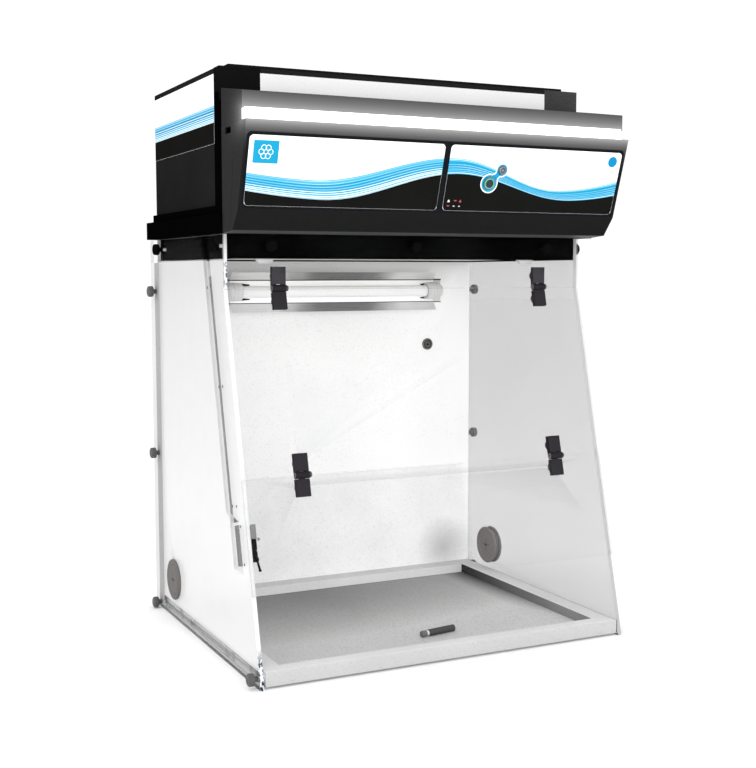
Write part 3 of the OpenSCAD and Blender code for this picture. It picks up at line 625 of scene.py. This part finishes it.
def softened(node, material, width, segments=2):
    """A copy of a CAD node with its edges rounded, which stands for the node."""
    source = nodes[node]
    mesh = source.data.copy()
    piece = bpy.data.objects.new(node + "_rounded", mesh)
    scene.collection.objects.link(piece)
    mesh.materials.clear()
    mesh.materials.append(material)
    bm = bmesh.new()
    bm.from_mesh(mesh)
    bmesh.ops.remove_doubles(bm, verts=bm.verts, dist=1e-6)
    bmesh.ops.dissolve_limit(bm, angle_limit=math.radians(0.5), verts=bm.verts, edges=bm.edges)
    bm.to_mesh(mesh)
    bm.free()
    bevel = piece.modifiers.new("round", "BEVEL")
    bevel.width = width * MM
    bevel.segments = segments
    bevel.limit_method = "ANGLE"
    bevel.angle_limit = math.radians(35)
    bevel.harden_normals = False
    bpy.context.view_layer.update()
    made = bpy.data.meshes.new_from_object(
        piece.evaluated_get(bpy.context.evaluated_depsgraph_get()))
    piece.modifiers.clear()
    piece.data = made
    made.shade_smooth()
    made.set_sharp_from_angle(angle=math.radians(40))
    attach(piece, body_of_node(node))
    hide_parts(node)
    return piece


def toned(profile, tone=0):
    """A profile of (radius, height) points in one material."""
    return [(r, h, tone) for r, h in profile]


def reface(piece, extras, pick):
    """Adds materials to a piece and gives each face the index that pick returns, if any."""
    for extra in extras:
        piece.data.materials.append(M[extra])
    for poly in piece.data.polygons:
        index = pick(poly)
        if index is not None:
            poly.material_index = index


def slab(group, x0, x1, y0, y1, z0, z1, mat=0):
    """A box between two corners in metres, as a foot or a tab of a larger piece."""
    verts = [Vector((x, y, z)) for x in (x0, x1) for y in (y0, y1) for z in (z0, z1)]
    sides = [(0, 1, 3, 2), (4, 6, 7, 5), (0, 2, 6, 4), (1, 5, 7, 3), (0, 4, 5, 1), (2, 3, 7, 6)]
    group.add(verts, sides, [mat] * 6)


def paint(node, material):
    """A CAD node kept as it is, with a better material."""
    mesh = nodes[node].data
    mesh.materials.clear()
    mesh.materials.append(material)


# ---------- chamber ----------


def tray_face(poly):
    """Floor, rim, right inner wall and back inner wall of the tray get lit and shaded copies of its
    white: painted light and shade.
    """
    if poly.normal.z > 0.9:
        return 1 if poly.center.z < 0.02 else 2
    if poly.normal.x < -0.8 and 0.3 < poly.center.x < 0.375:
        return 3
    if poly.normal.y < -0.8 and poly.center.y > 0.2:
        return 4


def wall_face(poly):
    """The back panel's side returns are painted grey as shade."""
    if abs(poly.normal.x) > 0.9 and poly.center.y > 0.2885:
        return 1


def rear_shades():
    """Strips on the left panel: the wall's side return in painted shade as it shows through, and a
    pale strip of painted light for the rear edge.
    """
    low, return_d, edge_d, rear_d = 9, 613, 650, 679.4
    x = -PANEL_X - 0.05
    for name, d0, d1, tone in (("return_shade", return_d, edge_d, "return"),
                               ("rear_edge_shade", edge_d, rear_d, "rear_edge")):
        corners = [P(x, d0, low), P(x, d1, low), P(x, d1, PANEL_TOP), P(x, d0, PANEL_TOP)]
        finish_piece(name, corners, [(0, 1, 2, 3)], M[tone], "hood")


def stick():
    """The dark stick that lies askew on the tray floor, with a grey collar and a pale end."""
    lean = math.radians(9)
    g = Group()
    g.add(*turned([(0, -18, 1), (5.6, -18, 1), (6.4, -17, 1), (6.4, -6, 2), (5.5, -6, 2),
                   (5.5, -0.5, 0), (6.6, -0.5, 0), (7, 0.6, 0), (7, 65, 0), (6.2, 66, 0),
                   (0, 66, 0)], P(15, 134, 19), (math.cos(lean), math.sin(lean), 0), 32))
    stick = g.make("stick_detail", [M["stick"], M["stick_grey"], M["white"]], "hood")
    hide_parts("tray_stick")


KNOB = [(2.9, 0), (5.4, 0), (5.0, 1.2), (5.0, 7.6), (6.2, 8.2), (10.6, 8.2), (11.8, 9.2),
        (12.0, 10.2), (12.0, 17.0), (11.4, 18.4), (9.6, 19.6), (8.2, 20.0), (7.6, 19.4), (0, 19.2)]


def ribbed(r, h, a):
    """Eighteen shallow ribs on the widest part of a thumb screw's head."""
    return r - (0.55 * (0.5 - 0.5 * math.cos(a * 18)) if r > 11.2 else 0)


def thumb_screws():
    """Ribbed heads that point to the side or the front. Most of the skirt's are black."""
    g = Group()
    for lo, hi in islands("thumb_knobs"):
        mid = (lo + hi) / 2
        if hi.x - lo.x < 0.0215:
            out = Vector((1 if mid.x > 0 else -1, 0, 0))
            foot = Vector((lo.x if out.x > 0 else hi.x, mid.y, mid.z))
        else:
            out = Vector((0, -1, 0))
            foot = Vector((mid.x, hi.y, mid.z))
        on_skirt = abs(mid.x) > 0.39 and mid.y > -0.16 and mid.z > 0.79
        g.add(*turned(toned(KNOB, 1 if on_skirt or out.y < 0 else 0), foot, out, 72, ribbed))
    knobs = g.make("thumb_knob_heads", [M["knob"], M["knob_black"]], "hood")
    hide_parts("thumb_knobs")
    paint("knob_studs", M["knob_black"])


PLUG_SIDE = [(30, 9.0), (31, 9.8), (33, 9.8), (34, 9.0), (40, 10.8), (43, 9.6), (44, 7.6),
             (43.6, 5.0), (42.6, 4.0), (38, 4.0)]


def cable_plugs():
    """Lipped discs with a groove round the rim, a slit cross and a small boss on each face."""
    outline = [(0, -9.0)] + [(r, -h) for r, h in PLUG_SIDE] + PLUG_SIDE[::-1] + [(0, 9.0)]
    for side, node, tone in ((-1, "cable_plug_left", "rubber_brown"),
                             (1, "cable_plug_right", "rubber_inner")):
        lo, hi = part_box(node)
        mid = (lo + hi) / 2
        g = Group()
        g.add(*turned(toned(outline), mid, (side, 0, 0), 96))
        for face in (-1, 1):
            out = Vector((face, 0, 0))
            g.add(*turned(toned([(0, 9.0), (2.6, 9.0), (2.6, 9.5), (0, 9.5)], 1), mid, out, 24))
            for turn in (0, math.pi / 2):
                a = Vector((0, math.cos(turn), math.sin(turn)))
                b = Vector((0, -math.sin(turn), math.cos(turn)))
                slit = [mid + out * 9.3 * MM + a * 16 * MM * s + b * 0.45 * MM * t
                        for s, t in ((-1, -1), (1, -1), (1, 1), (-1, 1))]
                g.add(slit, [(0, 1, 2, 3)], [1])
        plug = g.make(node + "_detail", [M[tone], M["rubber"]], "hood")
        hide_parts(node)


reface(softened("base_tray", M["tray"], 1.6, 3),
       ("tray_floor_shaded", "tray_top_lit", "tray_side_shaded", "tray_back_lit"), tray_face)
reface(softened("back_panel", M["panel"], 0.6), ("panel_return_shade",), wall_face)
softened("side_panel_left", M["panel_left"], 0.5, 1)
rear_shades()
softened("side_panel_right", M["panel_right"], 0.5, 1)
for node, tone in (("front_strip", "glazing"), ("upper_flap", "glazing"),
                   ("lower_flap", "glazing_low")):
    softened(node, M[tone], 0.4, 1)
paint("tray_feet", M["rubber"])
paint("tray_gaskets", M["gasket"])
# the same gaskets in two tones, painted light and shade: grey with dark flecks on the left, black
# on the right
reface(nodes["tray_gaskets"], ("rubber",), lambda poly: 1 if poly.center.x > 0 else 0)
stick()
thumb_screws()
cable_plugs()

# ---------- hinges ----------


def hinge_eyes(name, body, spread_x, d, z):
    """Light rings at the left ends of a pair of hinge knuckles."""
    g = Group()
    for x in (-spread_x, spread_x):
        g.add(*turned(toned([(2.7, 0), (5.0, 0), (5.0, 0.4), (4.4, 0.9), (3.3, 0.9), (2.7, 0.4),
                             (2.7, 0)]), P(x - 14.02, d, z), (-1, 0, 0), 32, None, False))
    g.make(name, [M["hinge_eye"]], body)


for node in ("top_hinge_fixed_leaves", "top_hinge_moving_leaves", "mid_hinge_upper_leaves",
             "mid_hinge_lower_leaves"):
    softened(node, M["hinge"], 0.7, 3)
for node in ("top_hinge_pins", "mid_hinge_pins", "strip_hinge_bolts", "upper_flap_hinge_bolts",
             "lower_flap_hinge_bolts"):
    softened(node, M["hinge_side"], 0.4)
hinge_eyes("top_hinge_eyes", "hood", 294, 166.6, 723.64)
hinge_eyes("mid_hinge_eyes", "upper_flap", 284, 79.74, 375.24)

# ---------- back wall fittings ----------

LAMP_LEFT, LAMP_RIGHT = -247, 299   # ends of the folded reflector


def sampling_port():
    """A brown ring with a dark groove, set in the back panel."""
    g = Group()
    g.add(*turned([(4, -7, 0), (12.6, -7, 0), (14, -6.2, 0), (14, -3, 0), (11, -3, 0), (11, 0, 0),
                   (14, 0, 0), (14, 1.8, 0), (12.8, 3.0, 0), (10.6, 3.0, 1), (9.4, 2.2, 1),
                   (6.4, 2.2, 0), (5.4, 2.8, 0), (4, 2.4, 0), (4, -7, 0)],
                  P(274, 625, 580), (0, -1, 0), 64))
    port = g.make("sampling_port_detail", [M["rubber_brown"], M["screw"]], "hood")
    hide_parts("sampling_port")


def reflector_face(poly):
    """The channel behind the tube is white."""
    if abs(poly.normal.y) > 0.9 and 0.686 < poly.center.z < 0.736:
        return 1


def lamp_fold_lines():
    """Shadows along the reflector's two folds, and the dark wedges by its holders."""
    fold_d, wedge_d = 602.6, 602.0
    g = Group()
    for z, half in ((737.6, 1.8), (684.4, 1.2)):
        g.add([P(LAMP_LEFT, fold_d, z - half), P(LAMP_RIGHT, fold_d, z - half),
               P(LAMP_RIGHT, fold_d, z + half), P(LAMP_LEFT, fold_d, z + half)],
              [(0, 1, 2, 3)], [0])
    for z, wide, narrow in ((726, 4.4, 1.4), (694, 3.2, 1.2)):
        for x0, x1, a, b in ((-216, -194, wide, narrow), (242, 264, narrow, wide)):
            g.add([P(x0, wedge_d, z - a), P(x1, wedge_d, z - b), P(x1, wedge_d, z + b),
                   P(x0, wedge_d, z + a)], [(0, 1, 2, 3)], [1])
    g.make("lamp_fold_lines", [M["fold_line"], M["switch"]], "hood", None)


HOLDER = [(0, 0, 1), (11.5, 0, 1), (13, 0.5, 0), (14.5, 2.5, 0), (15, 6, 0), (18.4, 9, 0),
          (20.2, 12, 0), (20.4, 12.6, 2), (20.4, 13.4, 0), (20.6, 20, 0), (21, 20.6, 2),
          (21, 21.4, 0), (21, 27, 0), (20.6, 27.6, 2), (20.6, 28.4, 0), (20.4, 36, 0),
          (19.6, 40, 0), (17.6, 42, 2), (13.3, 42, 1), (13.3, 40, 1), (0, 40, 1)]


def lamp_holders():
    """A ringed white socket at each end of the tube, with a foot back to the reflector."""
    g = Group()
    for lo, hi in islands("lamp_holders"):
        inward = 1 if (lo.x + hi.x) / 2 < 0.03 else -1
        axis_y, axis_z = lo.y + 0.021, (lo.z + hi.z) / 2
        start = Vector((lo.x if inward > 0 else hi.x, axis_y, axis_z))
        g.add(*turned(HOLDER, start, (inward, 0, 0), 64))
        slab(g, lo.x + 0.020, lo.x + 0.032, axis_y + 0.018, hi.y, axis_z - 0.012, axis_z + 0.012)
    holders = g.make("lamp_holder_detail", [M["white"], M["switch"], M["clip"]], "hood")
    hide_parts("lamp_holders")


sampling_port()
softened("lamp_base", M["white"], 1.5)
reface(softened("lamp_reflector", M["bright"], 0.3, 1), ("channel",),
       reflector_face)
lamp_fold_lines()
paint("uv_tube", M["tube"])
lamp_holders()

# ---------- interlock switch ----------


def switch_marks():
    """A white dot on the micro-switch and a pale round tab above it."""
    lo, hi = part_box("microswitch_body")
    g = Group()
    for x, y, z, r, tone in (((lo.x + hi.x) / 2, lo.y, lo.z + 0.57 * (hi.z - lo.z), 1.6, 0),
                             (hi.x - 0.0015, lo.y - 0.001, hi.z + 0.0025, 3.0, 1)):
        g.add(*turned(toned([(0, -0.2), (r, -0.2), (r, 0.4), (r * 0.7, 0.6), (0, 0.6)], tone),
                      Vector((x, y, z)), (0, -1, 0), 24))
    g.make("switch_marks", [M["white"], M["grey"]], "hood")


def conduit_screw_ends():
    """Ends of the conduit's and the cover plate's screws on the outside of the left panel."""
    g = Group()
    for d, z in ((276, 724.5), (256, 728.5), (213, 535), (191, 537.5), (142, 315), (119, 318.5),
                 (99, 284), (79, 216)):
        g.add(*turned(toned([(0, 0), (2.9, 0), (2.9, 0.25), (1.2, 0.3), (0, 0.3)]),
                      P(-PANEL_X - 0.02, d, z), (-1, 0, 0), 20))
    g.make("conduit_screw_ends", [M["screw"]], "hood")


# the cover's side faces take their own grey: painted light and shade
reface(softened("conduit_cover", M["grey"], 0.8), ("conduit_edge",),
       lambda poly: 1 if abs(poly.normal.x) < 0.5 else None)
softened("switch_cover_plate", M["plate"], 1.2, 3)
softened("switch_bracket", M["grey"], 0.5)
softened("microswitch_body", M["switch"], 0.5)
softened("switch_lever", M["switch"], 0.2)
switch_marks()
paint("conduit_screws", M["screw"])
conduit_screw_ends()

# ---------- head ----------

HEAD = [
    ("skirt_frame", "black", 0.5, "black_metal"), ("lower_flange", "black", 0.9, "black_metal"),
    ("upper_flange", "black", 0.9, "black_metal"), ("housing_shell", "shell", 1.2, "black_metal"),
    ("front_top_panel", "coat_white", 0.4, "white_coat"),
    ("corner_brackets", "bracket", 0.4, "black_metal"), ("top_cover", "rim", 0.9, "black_metal"),
    ("exhaust_grille", "shell", 0.7, "black_metal"), ("front_frame", "black", 0.5, "fascia_black"),
    ("filter_clips", "clip", 0.5, "conduit_grey"), ("power_inlet", "switch", 0.8, "switch_black"),
    ("fan_motor", "motor", 2.0, "motor_grey"),
]
head = {node: softened(node, M[tone], width) for node, tone, width, slot in HEAD}
# painted shade: the left corner bracket is a darker copy of the right one's grey
reface(head["corner_brackets"], ("bracket_shaded",), lambda poly: 1 if poly.center.x < 0 else None)
for node, tone in (("side_foils", "foil"), ("fan_deck", "galvanised"), ("fan_wheel", "wheel"),
                   ("motor_bridge", "galvanised"), ("carbon_filter", "carbon"),
                   ("pre_filter", "media"), ("control_board", "pcb")):
    paint(node, M[tone])

# ---------- fascia ----------


def fascia_face(poly):
    """Cheeks at the two ends, painted lighter as lit faces, and the underside of the chin, painted
    lighter for the light it catches from below.
    """
    if abs(poly.normal.x) > 0.7 and abs(poly.center.x) > 0.408:
        return 1
    if poly.normal.z < -0.9 and poly.center.z < 0.833:
        return 2


def bar_painted_highlight():
    """Painted highlight: a thin glowing line along the top bar's lower edge."""
    half, d, low, high = 405, 37.9, 1041.9, 1043.4
    g = Group()
    g.add([P(-half, d, low), P(half, d, low), P(half, d, high), P(-half, d, high)],
          [(0, 1, 2, 3)], [0])
    g.make("bar_painted_highlight", [M["light"]], "hood", None)


reface(softened("fascia_body", M["fascia"], 1.2, 3), ("cheek", "chin_under_lit"),
       fascia_face)
# the bar's ends take the lit cheek tone: painted light
reface(softened("fascia_top_bar", M["bar"], 1.2, 3), ("cheek",),
       lambda poly: 1 if abs(poly.normal.x) > 0.7 else None)
softened("light_bar", M["light"], 0.8)
bar_painted_highlight()

# the fascia's leaning face: across, up the face and out of it, in millimetres
LEAN = math.radians(17.5)
UP = Vector((0, -math.sin(LEAN), math.cos(LEAN)))
OUT = Vector((0, -math.cos(LEAN), -math.sin(LEAN)))
FACE = P(0, 66, 866)
FOIL_V, FOIL_H, FOIL_T = 7.0, 128.0, 1.2
FOILS = {"left": (-400.5, -8.5), "right": (4, 400.5)}


def on_face(x, v, out):
    """A point on the fascia's face, or out from it."""
    return FACE + Vector((x, 0, 0)) * MM + UP * v * MM + OUT * out * MM


def ease(t):
    """A smooth step from 0 to 1."""
    return (1 - math.cos(math.pi * max(0.0, min(1.0, t)))) / 2


def curve_at(points, x):
    """Height fraction along a wave whose inner points are crests and troughs."""
    if x <= points[1][0]:
        (x0, a), (x1, b) = points[0], points[1]
        return b + (a - b) * ((x1 - x) / (x1 - x0)) ** 1.6
    if x >= points[-2][0]:
        (x0, a), (x1, b) = points[-2], points[-1]
        return a + (b - a) * ((x - x0) / (x1 - x0)) ** 1.8
    for (x0, a), (x1, b) in zip(points[1:-2], points[2:-1]):
        if x <= x1:
            return a + (b - a) * ease((x - x0) / (x1 - x0))


TOP = [(-400.5, 0.468), (-268, 0.392), (19, 0.798), (253, 0.365), (400.5, 0.540)]
LOW = [(-400.5, 0.215), (-247, 0.113), (32, 0.565), (282, 0.208), (400.5, 0.312)]

# bands of the wave from its top: start, end and tone, with white gaps between some
BANDS = {
    "left": [(0.00, 0.05, 1), (0.05, 0.08, 2), (0.08, 0.19, 1), (0.19, 0.22, 2), (0.22, 0.33, 0),
             (0.33, 0.36, 2), (0.36, 0.47, 0), (0.47, 0.50, 2), (0.50, 0.595, 0), (0.63, 0.705, 0),
             (0.74, 0.805, 1), (0.845, 0.90, 1), (0.945, 0.985, 1)],
    "right": [(0.00, 0.05, 1), (0.08, 0.14, 1), (0.14, 0.17, 2), (0.17, 0.38, 0), (0.38, 0.41, 2),
              (0.41, 0.53, 0), (0.53, 0.56, 2), (0.56, 0.67, 0), (0.67, 0.70, 2), (0.70, 0.79, 0),
              (0.79, 0.82, 2), (0.82, 0.91, 0), (0.94, 1.00, 1)],
}


def rounded_v(x, x0, x1, r=7.4):
    """How far the foil's corner rounding pulls in at this X."""
    d = min(x - x0, x1 - x)
    return r - math.sqrt(max(r * r - (r - d) ** 2, 0)) if d < r else 0.0


def height(points, x):
    """Millimetres up the face of a wave's height fraction."""
    return FOIL_V + FOIL_H * curve_at(points, x)


def strip(group, x0, x1, low, high, out, mat, steps=150):
    """A printed band on the face between two height functions, in millimetres up the face."""
    xs = [x0 + (x1 - x0) * i / steps for i in range(steps + 1)]
    verts = []
    for x in xs:
        verts += [on_face(x, low(x), out), on_face(x, high(x), out)]
    faces = [(2 * i, 2 * i + 2, 2 * i + 3, 2 * i + 1) for i in range(steps)]
    group.add(verts, faces, [mat] * len(faces))


def between(f, wobble):
    """A height function at a fraction of the way down the wave, with a slow wobble."""
    return lambda x: (height(TOP, x) + (height(LOW, x) - height(TOP, x))
                      * (f + wobble * math.sin(x / 55.0)))


def print_wave(name, x0, x1):
    """The black field and the blue bands printed on one foil."""
    inset = 0.35
    a, b = x0 + inset, x1 - inset
    g = Group()
    strip(g, a, b, lambda x: FOIL_V + inset + rounded_v(x, a, b), lambda x: height(LOW, x),
          FOIL_T + 0.05, 3)
    for f0, f1, tone in BANDS[name]:
        wobble0, wobble1 = 0.012 * math.sin(40 * f0), 0.012 * math.sin(40 * f1 + 1)
        strip(g, x0, x1, between(f1, wobble1), between(f0, wobble0), FOIL_T + 0.08, tone)
    g.make("print_" + name, [M["cyan"], M["cyan_mid"], M["cyan_pale"], M["ink"]], "hood",
           None)


def circle(x, v, r, out, steps):
    """Points round a circle on the face."""
    turns = [2 * math.pi * i / steps for i in range(steps)]
    return [on_face(x + r * math.cos(a), v + r * math.sin(a), out) for a in turns]


def disc(group, x, v, r, out, mat, steps=64, r_in=0.0):
    """A printed disc, or a ring when it has an inner radius."""
    ring = circle(x, v, r, out, steps)
    if r_in:
        ring += circle(x, v, r_in, out, steps)
        faces = [(i, (i + 1) % steps, steps + (i + 1) % steps, steps + i) for i in range(steps)]
    else:
        faces = [tuple(range(steps))]
    group.add(ring, faces, [mat] * len(faces))


def plate(group, x0, x1, v0, v1, out, mat, r=2.0, steps=6):
    """A printed rectangle with rounded corners."""
    points = []
    for cx, cv, start in ((x1 - r, v1 - r, 0), (x0 + r, v1 - r, 90), (x0 + r, v0 + r, 180),
                          (x1 - r, v0 + r, 270)):
        for i in range(steps + 1):
            a = math.radians(start + 90 * i / steps)
            points.append(on_face(cx + r * math.cos(a), cv + r * math.sin(a), out))
    group.add(points, [tuple(range(len(points)))], [mat])


def print_square():
    """A plain blue square with a generic ring of loops."""
    x0, x1, v0, v1, ring = -391.5, -343.5, 84.6, 125.6, 8.5
    g = Group()
    plate(g, x0, x1, v0, v1, FOIL_T + 0.08, 0)
    for i in range(6):
        a = math.pi / 3 * i
        disc(g, (x0 + x1) / 2 + ring * math.cos(a), (v0 + v1) / 2 + ring * math.sin(a), 5.4,
             FOIL_T + 0.12, 1, 32, 4.2)
    g.make("print_square", [M["cyan"], M["foil"]], "hood", None)


SX, SV, MX, MV = 99.0, 63.0, 124.0, 90.0        # middles of the start and mode buttons


def dumbbell(group, grow, out, mat):
    """Rings round both buttons, joined by a waisted link."""
    disc(group, SX, SV, 17.0 + grow, out, mat, 64, 11.3)
    disc(group, MX, MV, 11.6 + grow, out, mat, 64, 7.3)
    d = Vector((MX - SX, MV - SV)).normalized()
    n = Vector((-d.y, d.x))
    waist = [(t, (5.0 + grow) * k) for t, k in ((15.5, 1.5), (20, 1.05), (25, 1.0), (29, 1.2))]
    line = [(SX + d.x * t + n.x * w, SV + d.y * t + n.y * w) for t, w in waist]
    line += [(SX + d.x * t - n.x * w, SV + d.y * t - n.y * w) for t, w in reversed(waist)]
    group.add([on_face(x, v, out) for x, v in line], [tuple(range(len(line)))], [mat])


def print_marks():
    """Blue double ring round the two buttons, a blue dot and small status marks."""
    white, red, blue, over = 1, 2, 3, FOIL_T + 0.12
    g = Group()
    dumbbell(g, 2.2, FOIL_T + 0.16, white)
    dumbbell(g, 0.0, FOIL_T + 0.20, 0)
    disc(g, 380.5, 116.0, 10.8, FOIL_T + 0.08, blue, 48)
    for x, v, tone in ((15.5, 26.4, white), (41, 26.6, red)):
        g.add([on_face(x - 3, v - 2.4, over), on_face(x + 3, v - 2.4, over),
               on_face(x, v + 3, over)], [(0, 1, 2)], [tone])
    for x, v, tone, w in ((30, 27, red, 2.8), (15.5, 16.6, red, 2.8), (28, 16.3, white, 1.9),
                          (40, 16.3, white, 1.9)):
        plate(g, x - w, x + w, v - w * 0.36, v + w * 0.36, over, tone, 0.5)
    g.make("print_marks", [M["cyan"], M["foil"], M["red"], M["blue"]], "hood", None)


def foil_recess():
    """Painted shade of the recess round the foils."""
    g = Group()
    plate(g, -405.5, 405.5, 1.5, 140.5, 0.12, 0, 9.0)
    g.make("foil_recess", [M["recess_shade"]], "hood", None)


def fascia_bead():
    """Rolled edge above the foils."""
    half, v, sides = 409.2, 143.6, 8
    turns = [math.pi * k / sides for k in range(sides + 1)]
    bead = [(v + 1.9 * math.cos(a), 1.3 * math.sin(a) - 0.05) for a in turns]
    g = Group()
    g.add([on_face(x, u, out) for x in (-half, half) for u, out in bead],
          [(k, k + 1, sides + 2 + k, sides + 1 + k) for k in range(sides)], [0] * sides)
    g.make("fascia_bead", [M["fascia"]], "hood", 60)


def button_bezels():
    """Fixed metal rings round the buttons."""
    g = Group()
    g.add(*turned([(11.35, -0.2, 0), (13.2, -0.2, 1), (13.2, 1.0, 1), (12.7, 2.0, 0),
                   (11.9, 2.0, 0), (11.35, 1.4, 0), (11.35, -0.2, 0)],
                  on_face(SX, SV, FOIL_T + 0.25), OUT, 72, None, False))
    g.add(*turned([(7.35, -0.2, 0), (8.6, -0.2, 1), (8.6, 0.7, 1), (8.2, 1.4, 0),
                   (7.7, 1.4, 0), (7.35, 0.9, 0), (7.35, -0.2, 0)],
                  on_face(MX, MV, FOIL_T + 0.25), OUT, 56, None, False))
    g.make("button_bezels", [M["chrome"], M["chrome_dark"]], "hood")


def buttons():
    """The large button with its teal ring, and the small metal one with a dished face."""
    g = Group()
    g.add(*turned([(0, -4.5, 0), (12.6, -4.5, 0), (12.6, -3.05, 0), (11.0, -3.05, 0),
                   (11.0, 3.2, 1), (10.6, 3.8, 1), (9.4, 4.0, 1), (8.4, 3.9, 2), (7.6, 3.5, 2),
                   (3.6, 3.45, 2), (3.2, 3.7, 2), (0, 3.8, 2)], on_face(SX, SV, 0), OUT, 72))
    start = g.make("start_button_detail", [M["chrome"], M["teal"], M["teal_dark"]],
                   "start_button")
    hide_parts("start_button")
    g = Group()
    # the mode button's dished face takes the darker metal: painted reflection
    g.add(*turned([(0, -4.5, 0), (8.6, -4.5, 0), (8.6, -3.05, 0), (7.0, -3.05, 0), (7.0, 3.0, 0),
                   (6.4, 3.8, 0), (5.4, 4.0, 1), (2.0, 3.2, 0), (0, 3.0, 0)],
                  on_face(MX, MV, 0), OUT, 56))
    mode = g.make("mode_button_detail", [M["chrome"], M["chrome_dark"]], "mode_button")
    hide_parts("mode_button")


def print_sides():
    """Printed bands on the two sides of the housing, given from the top down in millimetres."""
    bands = [(1067.0, 1064.5, 2), (1064.0, 1060.0, 1), (1059.4, 1055.2, 0), (1053.8, 1050.6, 0),
             (1049.6, 1046.8, 1), (1045.6, 1043.2, 1), (1042.0, 1040.0, 2), (1039.0, 1037.2, 2),
             (1036.0, 997.6, 3), (997.6, 996.1, 4)]
    lo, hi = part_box("side_foils")
    y0, y1 = lo.y + 0.0004, hi.y - 0.0004
    g = Group()
    for x in (lo.x - 0.00006, hi.x + 0.00006):
        for z1, z0, tone in bands:
            g.add([Vector((x, y0, z0 * MM)), Vector((x, y1, z0 * MM)), Vector((x, y1, z1 * MM)),
                   Vector((x, y0, z1 * MM))], [(0, 1, 2, 3)], [tone])
    g.make("print_sides", [M["cyan"], M["cyan_mid"], M["cyan_pale"], M["ink"], M["ink_grey"]],
           "hood", None)


for name in FOILS:
    reface(softened("foil_" + name, M["foil_edge"], 0.15, 1), ("foil",),
           lambda poly: 1 if poly.normal.dot(OUT) > 0.9 else None)
for name, (x0, x1) in FOILS.items():
    print_wave(name, x0, x1)
print_square()
print_marks()
foil_recess()
fascia_bead()
button_bezels()
buttons()
print_sides()

# ---------- floor ----------

FLOOR_HALF = 30
corners = [(x * FLOOR_HALF, y * FLOOR_HALF, 0) for x, y in ((-1, -1), (1, -1), (1, 1), (-1, 1))]
floor_mesh = bpy.data.meshes.new("floor")
floor_mesh.from_pydata(corners, [], [(0, 1, 2, 3)])
floor = bpy.data.objects.new("floor", floor_mesh)
scene.collection.objects.link(floor)
floor_mesh.materials.append(coated("floor_pale", grey(0.975), 0.8, spec=0.0, vary=0.005, grain=60,
                                   grain_vary=0.01))
